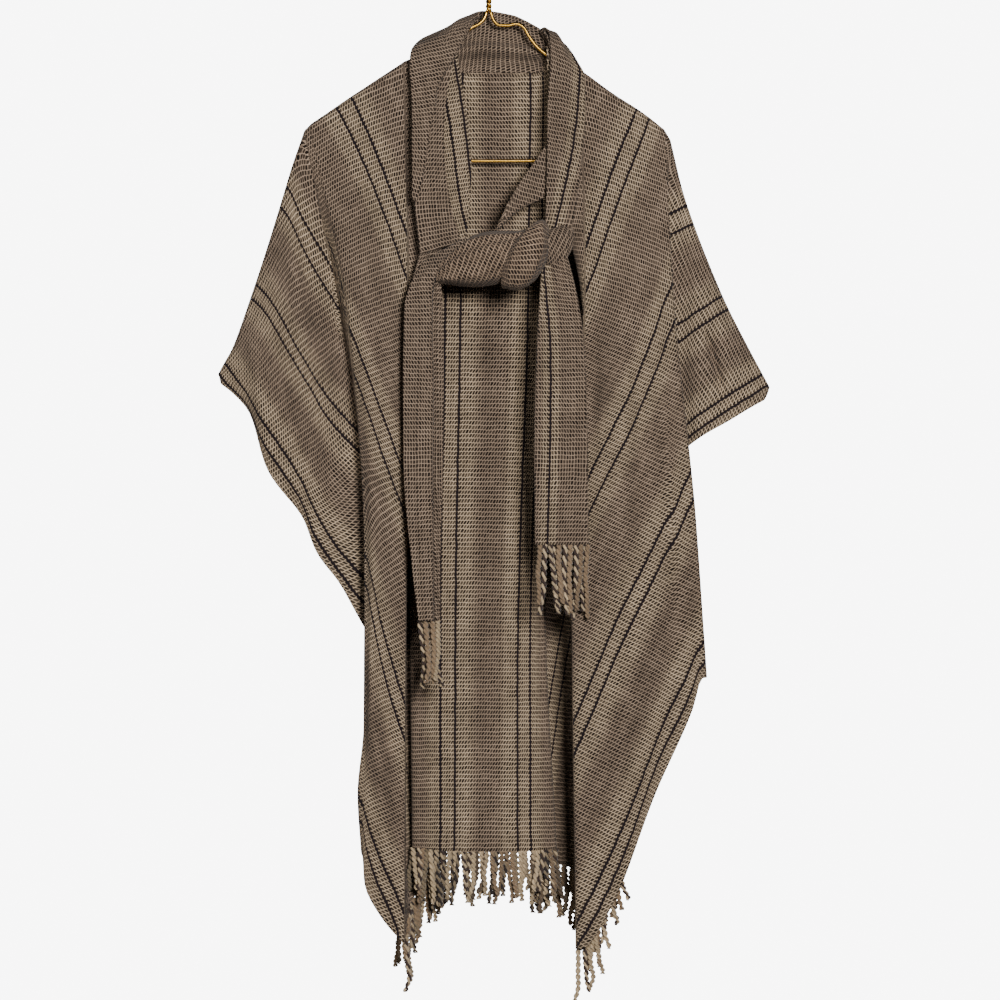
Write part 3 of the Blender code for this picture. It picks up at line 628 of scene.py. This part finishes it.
BACK_CREASES = (
    ((-2, 293), (4, 1053), 22, 3.5), ((-150, 300), (-120, 900), 18, 5), ((-60, 250), (-95, 1000), 15, -4),
    ((120, 260), (150, 950), 20, 5), ((215, 300), (190, 800), 14, -4), ((-230, 350), (-190, 640), 12, 4),
    ((40, 300), (70, 1050), 16, 3), ((250, 400), (260, 560), 9, 3), ((-270, 450), (-250, 600), 8, -3),
)
CREASE_STRENGTH = 1.9
UNEVENNESS = 0.9
body_wool = woven_wool("body_wool", STRIPE_PAIRS)
body, hems = {}, {}
for name, folds, side, creases, seed in (
    ("front_left", LEFT_FOLDS, -1, LEFT_CREASES, 3),
    ("front_right", RIGHT_FOLDS, -1, RIGHT_CREASES, 8),
    ("back", (*back_left, *BACK_FOLDS, *back_right), 1, BACK_CREASES, 5),
):
    grid, places, cuts = hanging_cloth(folds, side)
    places = settled(grid, places, cuts=cuts)
    soft = CREASE_STRENGTH * sum(crease(grid, *row) for row in creases)
    grid[..., 1] += side * (unevenness(places, seed, UNEVENNESS) + soft)
    body[name] = cloth_piece(f"{name}_cloth", f"{name}_panel", wall_parts(grid, places), body_wool)
    hems[name] = grid[-2:]


# SCARF COLLAR
# A long strip of the same wool, folded double and sewn by its middle to the back neck. It stands up behind the
# hanger, comes down the two sides of the neck and is knotted once, right end over left, at the chest.
STRIP_GAP = 2.4 * MM
PLY_COLUMNS = 30
FOLD_COLUMN = PLY_COLUMNS + 4
STRIPE_PLACE = 100 * MM
# Each stretch of the doubled strip from its upper end down: its folded outer edge and its inner edge as (x, drop, y)
# in millimetres. For the neck they run from left to right, with the folded upper edge and the sewn lower edge.
LEFT_STRIP = (
    ((-60, 121, 13), (-9, 97, 17)), ((-79, 131, 5), (-13, 100, 7)), ((-87, 141, -6), (-19, 112, -6)),
    ((-89, 152, -14), (-28, 130, -13)), ((-89, 167, -19), (-37, 150, -17)), ((-87, 190, -25), (-46, 187, -21)),
    ((-87, 246, -37), (-50, 246, -35)), ((-84, 315, -43), (-44, 315, -42)), ((-77, 381, -49), (-30, 368, -45)),
)
RIGHT_STRIP = (
    ((82, 128, 11), (62, 116, 13)), ((89, 134, 4), (65, 115, 5)), ((96, 143, -6), (70, 121, -6)),
    ((105, 156, -13), (73, 134, -14)), ((113, 172, -17), (74, 153, -18)), ((114, 211, -26), (71, 200, -24)),
    ((109, 281, -37), (70, 269, -35)), ((103, 322, -43), (69, 322, -41)), ((92, 382, -49), (67, 368, -46)),
)
BACK_NECK = (
    ((-60, 122, 18), (-50, 152, 14)), ((-42, 109, 24), (-42, 165.6, 19)), ((-5, 92, 28), (-12, 165.6, 21.6)),
    ((30, 97, 28), (36, 165.6, 21.4)), ((46, 104, 26), (60, 165.6, 20)), ((63, 114, 21), (72, 159.5, 16)),
    ((80, 124, 14), (80, 153, 10)),
)
# The left strip's upper ply, which tapers out: its outer edge and its turned border.
UPPER_PLY = (
    ((-82, 134, -4), (-17, 105, -2.5)), ((-88, 141, -11.5), (-19, 113, -10.5)),
    ((-90, 153, -19), (-29, 131, -18)), ((-90, 168, -24), (-38, 150, -23)), ((-88, 187, -30), (-51, 173, -27)),
    ((-87.5, 202, -33), (-58.5, 190, -31)), ((-87, 217, -35.5), (-60, 208, -34.5)),
    ((-87, 246, -42), (-66.5, 242, -41)), ((-86.5, 288, -46.5), (-74, 290, -45.5)),
    ((-86.5, 318, -48), (-82, 322, -47.5)),
)
LEFT_TAIL = (
    ((-77.5, 382.2, -49.2), (-52, 375.6, -47.6)), ((-87, 416, -50), (-53, 412, -50.4)),
    ((-95, 443, -50), (-51, 447, -50)), ((-96, 527, -50), (-50, 529, -50)), ((-95, 632, -51), (-51, 632, -51)),
    ((-85, 749, -52), (-54, 749, -52)), ((-78, 807, -52), (-54, 807, -52)),
)
RIGHT_TAIL = (
    ((92.2, 383.2, -49.2), (67.8, 369.6, -46.4)), ((100, 412, -49), (63, 404, -49)),
    ((105, 436, -50), (61, 432, -50)), ((112, 487, -52), (58, 487, -52)), ((116, 597, -52), (55, 597, -52)),
    ((117, 719, -52), (56, 719, -52)),
)
# The knot's wrap, from the left tail's root up to the right strip, as sections from its top edge round its front to
# its lower edge, and the loop over it, as sections from its left selvedge to its right edge.
KNOT_WRAP = (
    ((-53, 398, -52), (-58, 400, -58), (-60, 407, -62), (-58, 413, -60), (-53, 416, -54)),
    ((-44, 388, -53), (-50, 391, -66), (-51, 402, -72), (-49, 412, -69), (-44, 417, -55)),
    ((-31, 374, -53), (-36, 379, -71), (-38, 396, -80), (-36, 413, -75), (-31, 419, -56)),
    ((-15, 361, -53), (-18, 367, -74), (-19, 391, -85), (-17, 414, -78), (-14, 420, -57)),
    ((8, 356, -53), (6, 362, -74), (5, 386, -86), (7, 410, -79), (10, 417, -57)),
    ((31, 356, -52), (30, 361, -71), (29, 380, -81), (30, 401, -75), (32, 408, -56)),
    ((52, 352, -50), (52, 356, -65), (51, 369, -71), (51, 384, -66), (52, 390, -54)),
    ((66, 348, -48), (66, 351, -57), (66, 360, -60), (65, 371, -57), (64, 376, -52)),
)
KNOT_LOOP = (
    ((60, 346, -50), (62, 344, -55), (64, 343, -57), (66, 344, -56), (69, 347, -50)),
    ((49, 353, -60), (53, 350, -72), (60, 348, -77), (66, 349, -72), (71, 354, -55)),
    ((38, 363, -74), (43, 360, -82), (55, 359, -88), (66, 360, -82), (71, 366, -58)),
    ((28, 377, -82), (33, 374, -88), (49, 374, -95), (65, 374, -88), (71, 380, -60)),
    ((22, 391, -82), (27, 388, -89), (44, 389, -97), (62, 387, -89), (68, 392, -60)),
    ((18, 405, -80), (23, 403, -88), (39, 405, -95), (56, 401, -87), (62, 403, -58)),
    ((17, 417, -76), (22, 417, -84), (35, 419, -89), (49, 414, -82), (55, 413, -57)),
    ((18, 422, -66), (23, 423, -72), (34, 425, -75), (46, 420, -70), (51, 416, -55)),
)
# The left tail's front ply, from under the wrap's end round to its hem: its outer edge and its turned border.
LEFT_TAIL_PLY = (
    ((-75, 392, -53), (-24, 362, -56)), ((-77, 397, -55), (-31, 376, -64)), ((-81, 404, -56), (-42, 386, -68)),
    ((-86, 413, -56), (-53, 396, -69)), ((-91, 425, -56), (-60, 411, -67)), ((-95, 441, -56), (-63, 431, -62)),
    ((-96, 470, -56), (-63.5, 466, -58)), ((-97, 530, -56), (-62, 530, -57)),
    ((-96, 632, -57), (-63, 632, -58)), ((-86, 749, -58), (-62, 749, -59)), ((-79, 807, -58), (-62, 807, -59)),
)
# The bunch of cloth that runs from the right strip behind the loop into the right tail.
BUNCH = (
    ((66, 358, -52), (67, 364, -61), (68, 376, -64), (69, 388, -60), (69, 394, -52)),
    ((77, 350, -47), (79, 358, -57), (80, 370, -60), (80, 384, -58), (80, 393, -51)),
    ((89, 346, -44), (91, 354, -52), (92, 366, -55), (92, 380, -54), (91, 388, -49)),
    ((99, 350, -42), (100, 357, -46), (100, 366, -48), (98, 376, -48), (95, 382, -45)),
)
UNDERLAP = (
    ((75.5, 244, -26), (75, 311, -30)), ((55, 274, -31), (54, 321, -35)), ((39, 297, -37), (36, 331, -40)),
    ((25, 321, -44), (20, 346, -47)), ((13, 346, -50), (11, 355, -52)),
)


def table_points(rows):
    """A table of (x, drop, y) points in millimetres as (x, y, z) in metres."""
    rows = np.array(rows, float)
    return np.stack((rows[..., 0], rows[..., 2], -rows[..., 1]), axis=-1) * MM


def folded_strip(sections, rows, ridges=(), drift=(0, 0)):
    """The doubled strip as one grid: its front ply, round the fold at the outer edge and back behind.

    Each ridge is (place at the top, place at the bottom, width, height) with places as shares of the strip's width
    from the inner edge, and is a bell across the strip. The drift is how far the stripe lies from the folded edge at
    the top and at the bottom.
    """
    edges = table_points(sections)
    lengths = lengths_along(edges.mean(axis=1))
    run = np.linspace(0, lengths[-1], rows)
    edges = smooth_through(lengths, edges, run)
    outer, inner = edges[:, 0], edges[:, 1]
    across = outer - inner
    reach = np.linalg.norm(across, axis=1)[:, None]
    along = across / reach
    out = np.cross(np.gradient(edges.mean(axis=1), axis=0), across)
    out /= np.linalg.norm(out, axis=1, keepdims=True)
    out *= -np.sign(out[:, 1:2])
    share = np.linspace(0, 1, PLY_COLUMNS)[None]
    straight = reach - STRIP_GAP
    t = np.linspace(0, 1, rows)[:, None]
    swell = np.zeros((rows, PLY_COLUMNS))
    for start, end, width, height in ridges:
        swell += height * MM * np.exp(-(((share - start - (end - start) * t) / width) ** 2))
    turn = np.linspace(0, math.pi, 11)[None, 1:-1]
    sideways = np.hstack((straight * share, straight + STRIP_GAP * np.sin(turn), straight * share[:, ::-1]))
    round_fold = STRIP_GAP * np.cos(turn) + swell[:, -1:] * (1 + np.cos(turn)) / 2
    level = np.hstack((STRIP_GAP + swell, round_fold, np.full((rows, PLY_COLUMNS), -STRIP_GAP)))
    grid = inner[:, None] + along[:, None] * sideways[..., None] + out[:, None] * level[..., None]
    steps = np.linalg.norm(np.diff(grid, axis=1), axis=2)
    width = np.hstack((np.zeros((rows, 1)), np.cumsum(steps, axis=1)))
    width = width - width[:, FOLD_COLUMN, None]
    shift = (drift[0] + (drift[1] - drift[0]) * t) * MM
    places = np.stack((STRIPE_PLACE + width + shift, np.broadcast_to(run[:, None], width.shape)), axis=-1)
    return grid, places


def lofted(sections, rows, columns, pleats=(), turned=0, turned_edge=0):
    """A sheet through a table of sections, smooth both ways, with its weave turned by an angle in degrees.

    A pleat is (share across at the first section, share at the last, width, height) and is a bell across the sheet.
    The turned edge is how far the last of the sheet's width curls to the back.
    """
    knots = table_points(sections)
    lengths = lengths_along(knots.mean(axis=1))
    run = np.linspace(0, lengths[-1], rows)
    grid = smooth_through(lengths, knots, run)
    widths = np.linalg.norm(np.diff(grid, axis=1), axis=2).mean(axis=0)
    knots = np.concatenate(((0,), np.cumsum(widths)))
    places = np.linspace(0, knots[-1], columns)
    grid = smooth_through(knots, grid.transpose(1, 0, 2), places).transpose(1, 0, 2)
    share = (places / knots[-1])[None]
    t = np.linspace(0, 1, rows)[:, None]
    out = unit_normals(grid)
    out *= np.where(out[..., 1].mean() < 0, 1, -1)
    for first, last, width, height in pleats:
        bell = np.exp(-(((share - first - (last - first) * t) / width) ** 2))
        bell *= np.sin(math.pi * np.clip(t, 0.02, 0.98)) ** 0.5
        grid = grid + out * (height * MM * bell)[..., None]
    grid[..., 1] += turned_edge * MM * np.clip((share - 0.86) / 0.14, 0, 1) ** 2
    across = np.hstack((np.zeros((rows, 1)), np.cumsum(np.linalg.norm(np.diff(grid, axis=1), axis=2), axis=1)))
    c, s = math.cos(math.radians(turned)), math.sin(math.radians(turned))
    along = np.broadcast_to(run[:, None], across.shape)
    across, along = np.moveaxis(settled(grid, np.stack((across, along), axis=-1), 1.0), -1, 0)
    return grid, np.stack((across * c - along * s, across * s + along * c), axis=-1)


NO_STRIPE = ((900, 900),)
scarf_wool = woven_wool("scarf_wool", ((STRIPE_PLACE / MM, STRIPE_PLACE / MM),), band=0.010, depth=0.93)
plain_wool = woven_wool("plain_scarf_wool", NO_STRIPE, depth=0.93)
knot_wool = woven_wool("knot_wool", NO_STRIPE, 1.03, depth=0.98)

# What lies over a stretch of the strip and belongs to it.
upper_ply = lofted(UPPER_PLY, 91, 34, turned_edge=3.0)
tail_ply = lofted(LEFT_TAIL_PLY, 151, 34, ((0.45, 0.5, 0.12, 2.0),), turned_edge=4.0)
bunch = lofted(BUNCH, 41, 40, ((0.35, 0.4, 0.06, 2.0), (0.7, 0.6, 0.06, 1.6)), 30)

neck_ridges = ((0.40, 0.40, 0.09, 9), (0.22, 0.22, 0.07, -5), (0.75, 0.75, 0.15, 2))
left_ridges = ((0.3, 0.45, 0.12, 2.2), (0.7, 0.75, 0.1, -1.0))
right_ridges = ((0.45, 0.35, 0.22, 3.5), (0.85, 0.8, 0.08, -1.0))
left_tail_ridges = ((0.12, 0.2, 0.05, 3.0), (0.5, 0.7, 0.12, 3), (0.75, 0.4, 0.08, -1.2))
right_tail_ridges = ((0.05, 0.1, 0.05, 2.5), (0.5, 0.4, 0.12, 3), (0.85, 0.75, 0.09, 2.4))
underlap_pleats = ((0.86, 0.9, 0.05, 1.2), (0.45, 0.5, 0.2, 1.5))
wrap_pleats = (
    (0.75, 0.5, 0.05, 2.4), (0.5, 0.35, 0.05, 2.2), (0.3, 0.25, 0.05, 1.6), (0.62, 0.42, 0.04, -1.5),
    (0.4, 0.3, 0.04, -1.2),
)
loop_pleats = ((0.2, 0.22, 0.035, 1.6), (0.45, 0.6, 0.08, 2.0), (0.75, 0.8, 0.06, 1.4))
scarf = {}
for name, node, sheets, finish in (
    ("back_neck", "scarf_back_neck", (folded_strip(BACK_NECK, 70, neck_ridges),), plain_wool),
    ("left_strip", "scarf_left_strip", (folded_strip(LEFT_STRIP, 110, left_ridges), upper_ply), plain_wool),
    ("right_strip", "scarf_right_strip", (folded_strip(RIGHT_STRIP, 110, right_ridges, (1, 21)),), scarf_wool),
    ("left_tail", "scarf_left_tail", (folded_strip(LEFT_TAIL, 130, left_tail_ridges), tail_ply), plain_wool),
    (
        "right_tail", "scarf_right_tail",
        (folded_strip(RIGHT_TAIL, 110, right_tail_ridges, (36, 48)), bunch), scarf_wool,
    ),
    ("underlap", "scarf_right_underlap", (lofted(UNDERLAP, 71, 36, underlap_pleats, 50, 2.0),), plain_wool),
    ("knot_wrap", "scarf_knot_wrap", (lofted(KNOT_WRAP, 111, 90, wrap_pleats, 45),), knot_wool),
    ("knot_loop", "scarf_knot_loop", (lofted(KNOT_LOOP, 81, 80, loop_pleats, 20),), knot_wool),
):
    parts = joined(*(wall_parts(*sheet) for sheet in sheets))
    scarf[name] = cloth_piece(f"scarf_{name}_cloth", node, parts, finish)

for name, flat, held, rests_on, area in (
    ("back_neck", (0.15, 0.15), "folded", [body["back"]], 0.0193),
    ("left_strip", (0.19, 0.30), "folded", [body["front_left"], scarf["back_neck"]], 0.0335),
    ("right_strip", (0.10, 0.28), "folded", [body["front_right"], scarf["back_neck"]], 0.0214),
    ("underlap", (0.055, 0.12), "draped", ["scarf_right_strip"], 0.0028),
    ("knot_wrap", (0.12, 0.13), "gathered", ["scarf_left_tail"], 0.0114),
    ("knot_loop", (0.08, 0.11), "gathered", ["scarf_knot_wrap"], 0.0068),
):
    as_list(rests_on)


# FRINGES
# The cloth's own wool warp ends, left long beyond the last woven row and twisted two by two into short cords. They
# hang from the lower edges of the body and from the two ends of the scarf.
def fringe_yarn():
    """Wool yarn in the colour each strand carries, which for the row behind a hem fringe holds painted shade, mottled
    along it and slightly furry.
    """
    finish, tree, shader = new_finish("fringe_yarn", 0.95, 0.15)
    shade = tree.nodes.new("ShaderNodeAttribute")
    shade.attribute_name = "yarn"
    place = tree.nodes.new("ShaderNodeTexCoord").outputs["Object"]
    mottle = noise(tree, place, 260.0, 4.0)["Fac"]
    colour = darkened(tree, shade.outputs["Color"], scaled(tree, mottle, 1.1, 0.45))
    link(tree, colour, shader.inputs["Base Color"])
    emboss(tree, shader, mottle, 0.6, 0.0004)
    return finish


YARN_CREAM = np.array(dye(172, 150, 118)[:3])
YARN_TAN = np.array(dye(128, 106, 82)[:3])
YARN_BROWN = np.array(dye(50, 36, 30)[:3])
PLY_RADIUS = 2.0 * MM
TWIST_PITCH = 12 * MM


def tube_faces(count, rings, sides):
    """The faces of closed tubes whose points are stored tube by tube and ring by ring: walls, then both ends.

    An end is four-cornered faces across a ring with an even number of points.
    """
    start = np.arange(count)[:, None, None] * rings * sides
    first = start + np.arange(rings - 1)[:, None] * sides + np.arange(sides)
    following = start + np.arange(rings - 1)[:, None] * sides + (np.arange(sides) + 1) % sides
    walls = np.stack((first, first + sides, following + sides, following), axis=-1)
    k = np.arange(sides // 2 - 1)
    end = start[:, 0] + np.stack((k + 1, sides - 2 - k, sides - 1 - k, k), axis=-1).reshape(1, -1)
    far_end = end.reshape(-1, 4)[:, ::-1] + (rings - 1) * sides
    return np.vstack((walls.reshape(-1, 4), end.reshape(-1, 4), far_end))


def twisted_strands(roots, downs, lengths, shades, seed, sway=4.5):
    """Strands of two plies wound round each other.

    Each ply's middle is root + down * run + drift + r * (cos a, sin a), with a = 2 pi run / pitch, and its section
    is a ring. The drift is a slow wave that grows towards the tip.
    """
    rng = np.random.default_rng(seed)
    count, rings, sides = len(roots), 46, 6
    t = np.linspace(0, 1, rings)[None, :, None]
    run = t * lengths[:, None, None]
    aim = rng.uniform(0, 2 * math.pi, (count, 1, 2))
    bend = rng.uniform(0.4, 1.0, (count, 1, 2)) * sway * MM
    drift = np.zeros((count, rings, 3))
    drift[..., :2] = bend * (np.sin(t * 3.2 + aim) - np.sin(aim)) * t**0.6
    drift[..., :2] += bend * 0.35 * (np.sin(t * 11 + 2 * aim) - np.sin(2 * aim)) * t
    middle = roots[:, None] + downs[:, None] * run + drift
    phase = rng.uniform(0, 2 * math.pi, (count, 1, 1))
    pitch = TWIST_PITCH * rng.uniform(0.85, 1.2, (count, 1, 1))
    angle = 2 * math.pi * run / pitch + phase
    ring = np.arange(sides) * 2 * math.pi / sides
    points, colours = [], []
    for ply in (0, 1):
        turn = angle[..., 0] + ply * math.pi
        thick = PLY_RADIUS * (1 - 0.25 * t[..., 0] ** 4) * np.ones((count, rings))
        apart = PLY_RADIUS * (0.72 + 0.15 * t[..., 0] ** 10)
        centre = middle + np.stack((apart * np.cos(turn), apart * np.sin(turn), np.zeros_like(turn)), axis=-1)
        section = np.stack((np.cos(ring), np.sin(ring), np.zeros(sides)), axis=-1)
        points.append(centre[:, :, None] + section * thick[..., None, None])
        colours.append(np.broadcast_to(shades[:, ply, None, None], points[-1].shape))
    points = np.stack(points, axis=1).reshape(-1, 3)
    colours = np.stack(colours, axis=1).reshape(-1, 3)
    return points, tube_faces(count * 2, rings, sides), colours


def shades_for(count, rng, dark=0.2):
    """Each strand's two plies: mostly cream and tan, and some with one dark brown ply."""
    pick = rng.uniform(size=(count, 1))
    tone = rng.uniform(0.75, 1.1, (count, 1))
    first = np.where(pick < 0.6, YARN_CREAM, YARN_TAN) * tone
    second = np.where(pick < dark, YARN_BROWN, first * 0.9)
    return np.stack((first, second), axis=1)


def hem_fringe(name, node, hem, pitch, length, seed, behind=0.0, dark=0.3, jitter=0.12):
    """A fringe along a hem: a front row of strands at an even pitch and a shorter row just behind it, whose yarn
    colours are darkened as painted shade.
    """
    rng = np.random.default_rng(seed)
    edge, down = hem[1], hem[1] - hem[0]
    arc = lengths_along(edge)
    count = max(2, int(round(arc[-1] / (pitch * MM))))
    rows = []
    # The row behind is painted in shade: its yarn colours are multiplied by 0.45.
    for layer, number, shade in ((0, count, 1.0), (1, int(count * behind), 0.45)):
        if not number:
            continue
        where = (np.arange(number) + 0.5 + rng.uniform(-0.3, 0.3, number)) * arc[-1] / number
        roots, ways = (np.array([np.interp(where, arc, line[:, k]) for k in range(3)]).T for line in (edge, down))
        ways = ways / np.linalg.norm(ways, axis=1, keepdims=True) * 0.4 + np.array((0, 0, -1.0)) * 0.6
        ways /= np.linalg.norm(ways, axis=1, keepdims=True)
        ways[:, :2] += rng.normal(0, 0.03, (number, 2))
        roots = roots + np.array((0, 1.5 * MM * layer, 0.5 * MM))
        long = np.interp(where, (0, arc[-1]), length) * MM * rng.uniform(1 - jitter * 1.6, 1 + jitter, number)
        rows.append(twisted_strands(roots, ways, long, shades_for(number, rng, dark) * shade, seed + 7 * layer))
    points, faces, shades = joined(*rows)
    piece = new_piece(name, node, points, faces, yarn)
    attribute = piece.data.attributes.new("yarn", "FLOAT_VECTOR", "POINT")
    attribute.data.foreach_set("vector", shades.ravel())
    return piece


yarn = fringe_yarn()
for name, start, end, pitch, length, seed, behind in (
    ("back", (-106, 1160, 32), (128, 1164, 32), 7.6, (60, 56), 11, 0.8),
    ("front_left", (-90, 1141, -12), (-96, 1186, -22), 8, (34, 58), 12, 0.0),
    ("front_right", (157, 1100, -6), (103, 1190, -20), 8, (26, 62), 13, 0.0),
):
    off = [np.linalg.norm(hems[name][1] - table_points([row]), axis=1) for row in (start, end)]
    hem = hems[name][:, int(off[0].argmin()) : int(off[1].argmin()) + 1]
    hem_fringe(f"{name}_hem_fringe", f"fringe_{name}_hem", hem, pitch, length, seed, behind)
for side, sections, seed in (("left", LEFT_TAIL, 25), ("right", RIGHT_TAIL, 26)):
    hem = folded_strip(sections, 110)[0][-2:, 1 : 2 * PLY_COLUMNS]
    hem_fringe(f"{side}_tail_fringe", f"fringe_{side}_tail", hem, 7.2, (78, 78), seed, dark=0.5)

for piece, flat, rests_on, area, fringe in (
    (body["front_left"], (0.55, 0.70), ["hanger_left_arm"], 0.18, "front_left"),
    (body["front_right"], (0.55, 0.99), ["hanger_right_arm"], 0.213, "front_right"),
    (body["back"], (1.10, 0.92), ["hanger_left_arm", "hanger_right_arm"], 0.549, "back"),
    (scarf["left_tail"], (0.16, 0.44), ["scarf_knot_wrap"], 0.0521, "left"),
    (scarf["right_tail"], (0.20, 0.345), ["scarf_knot_loop"], 0.0415, "right"),
):
    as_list(rests_on)


# HANGER
# Gold-coloured steel wire, 4 mm thick, bent to a hook, two shaped arms and a bar between them, with its ends twisted
# round each other as the neck. The cloth lies over the arms and the hook hangs on the rail.
WIRE = 2 * MM
TWISTED_WIRE = 1.8 * MM
HOOK_RADIUS = 20
HOOK_CENTRE = 18
NECK_X = 2
NECK_TOP = 78.3
NECK_LENGTH = 16.4
ARMS_TOP = 95
ARM_APART = 2.15
BAR_DROP = 270
BAR_HALF = 149.7
LEFT_ARM = (
    (NECK_X - ARM_APART, ARMS_TOP), (-3, 103), (-10, 110), (-18, 114), (-30, 126), (-42, 141),
    (-96, 163), (-143, 194), (-195, 229), (-203, 238), (-203, 249), (-194, 260), (-176, 268),
    (-150, BAR_DROP),
)
RIGHT_ARM = (
    (NECK_X + ARM_APART, ARMS_TOP), (7, 104), (14, 111), (24, 111.5), (34, 109.5), (42, 113),
    (49, 124), (58, 136), (70, 146), (109, 172), (146, 199), (197, 235), (204, 243),
    (204, 253), (195, 262), (178, 268.5), (150, BAR_DROP),
)


def gold_wire():
    """Brushed gold-coloured plating, slightly uneven in its gloss."""
    finish, tree, shader = new_finish("gold_wire", 0.3)
    shader.inputs["Metallic"].default_value = 1.0
    cloud = noise(tree, tree.nodes.new("ShaderNodeTexCoord").outputs["Object"], 120.0)["Fac"]
    link(tree, blend_colours(tree, cloud, dye(190, 148, 70), dye(164, 122, 50)), shader.inputs["Base Color"])
    link(tree, scaled(tree, cloud, 0.15, 0.22), shader.inputs["Roughness"])
    return finish


def wire_along(name, node, path, radius):
    """A round wire: rings of the radius square to a smooth path, closed at both ends."""
    sides = 16
    way = np.gradient(path, axis=0)
    way /= np.linalg.norm(way, axis=1, keepdims=True)
    first = np.cross(way, (0, 1, 0))
    first /= np.linalg.norm(first, axis=1, keepdims=True)
    second = np.cross(way, first)
    angle = (np.arange(sides) * 2 * math.pi / sides)[:, None]
    points = path[:, None] + radius * (first[:, None] * np.cos(angle) + second[:, None] * np.sin(angle))
    return new_piece(name, node, points.reshape(-1, 3), tube_faces(1, len(path), sides)[:, ::-1], gold)


def even_path(rows, count):
    """Points at equal steps along a smooth curve through a table of (x, drop) points in the hanger's plane."""
    points = table_points([(x, drop, 0) for x, drop in rows])
    lengths = lengths_along(points)
    return smooth_through(lengths, points, np.linspace(0, lengths[-1], count))


gold = gold_wire()
turn = np.radians(np.linspace(200, -45, 50))
hook_arc = np.column_stack((HOOK_RADIUS * np.cos(turn), HOOK_CENTRE - HOOK_RADIUS * np.sin(turn), 0 * turn))
hook_foot = even_path((hook_arc[-1, :2], (6, 49), (NECK_X, 64), (NECK_X, 78)), 30)
share = np.linspace(0, 1, 60)
wind = share * 3 * math.pi
neck_line = table_points(np.column_stack((NECK_X + 0 * wind, NECK_TOP + NECK_LENGTH * share, 0 * wind)))
coil = np.stack((np.cos(wind), np.sin(wind), 0 * wind), axis=-1) * TWISTED_WIRE
for name, node, path, radius in (
    ("hook_wire", "hanger_hook", np.vstack((table_points(hook_arc), hook_foot[1:])), WIRE),
    ("neck_wire_0", "hanger_neck", neck_line + coil, TWISTED_WIRE),
    ("neck_wire_1", "hanger_neck", neck_line - coil, TWISTED_WIRE),
    ("left_arm_wire", "hanger_left_arm", even_path(LEFT_ARM, 160), WIRE),
    ("right_arm_wire", "hanger_right_arm", even_path(RIGHT_ARM, 170), WIRE),
    ("bar_wire", "hanger_bar", even_path(((-BAR_HALF, BAR_DROP), (BAR_HALF, BAR_DROP)), 60), WIRE),
):
    wire_along(name, node, path, radius)


# FLOOR, LIGHTS AND CAMERA
# A pale paper floor under a white sky that only the camera sees, lamps at the front and behind, which give all of the
# light, and a camera level with the middle of the cloth.
FLOOR_DROP = 1.40
paper = np.array([(x, y, -FLOOR_DROP) for y in (-2.4, 1.2) for x in (-2.6, 2.6)])
floor_mesh = bpy.data.meshes.new("floor")
floor_mesh.from_pydata(paper.tolist(), [], grid_faces(2, 2).tolist())
floor_finish, _, shader = new_finish("pale_paper", 0.9)
shader.inputs["Base Color"].default_value = (0.93, 0.93, 0.93, 1)
floor_mesh.materials.append(floor_finish)
floor = in_scene("floor", floor_mesh)
floor.visible_diffuse = False

AIM = np.array((0, 0, -0.65))
for name, place, size, power in (
    ("front_left_light", (-3.0, -3.2, 0.2), 1.1, 34),
    ("front_right_light", (0.85, -3.8, 0.1), 0.8, 200),
    ("front_fill_light", (0, -5.5, -0.3), 3.5, 14),
    ("rear_light", (0.9, 3.4, -0.4), 0.9, 170),
):
    light = bpy.data.lights.new(name, "AREA")
    light.shape = "SQUARE"
    light.size = size
    light.energy = power
    lamp = in_scene(name, light)
    lamp.location = place
    x, y, z = AIM - place
    lamp.rotation_euler = (math.atan2(math.hypot(x, y), -z), 0, math.atan2(y, x) - math.pi / 2)
    lamp.visible_camera = False

sky = bpy.data.worlds.new("white_sky")
sky.use_nodes = True
sky.node_tree.nodes["Background"].inputs["Color"].default_value = (1, 1, 1, 1)
sky.node_tree.nodes["Background"].inputs["Strength"].default_value = 8.0
bpy.context.scene.world = sky
sky.cycles_visibility.diffuse = False
sky.cycles_visibility.glossy = False

lens = bpy.data.cameras.new("camera")
lens.sensor_width = 36
lens.lens = 153.8
eye = in_scene("camera", lens)
eye.location = (0.0152, -5.0, -0.6669)
eye.rotation_euler = (math.radians(90), 0, 0)
bpy.context.scene.camera = eye
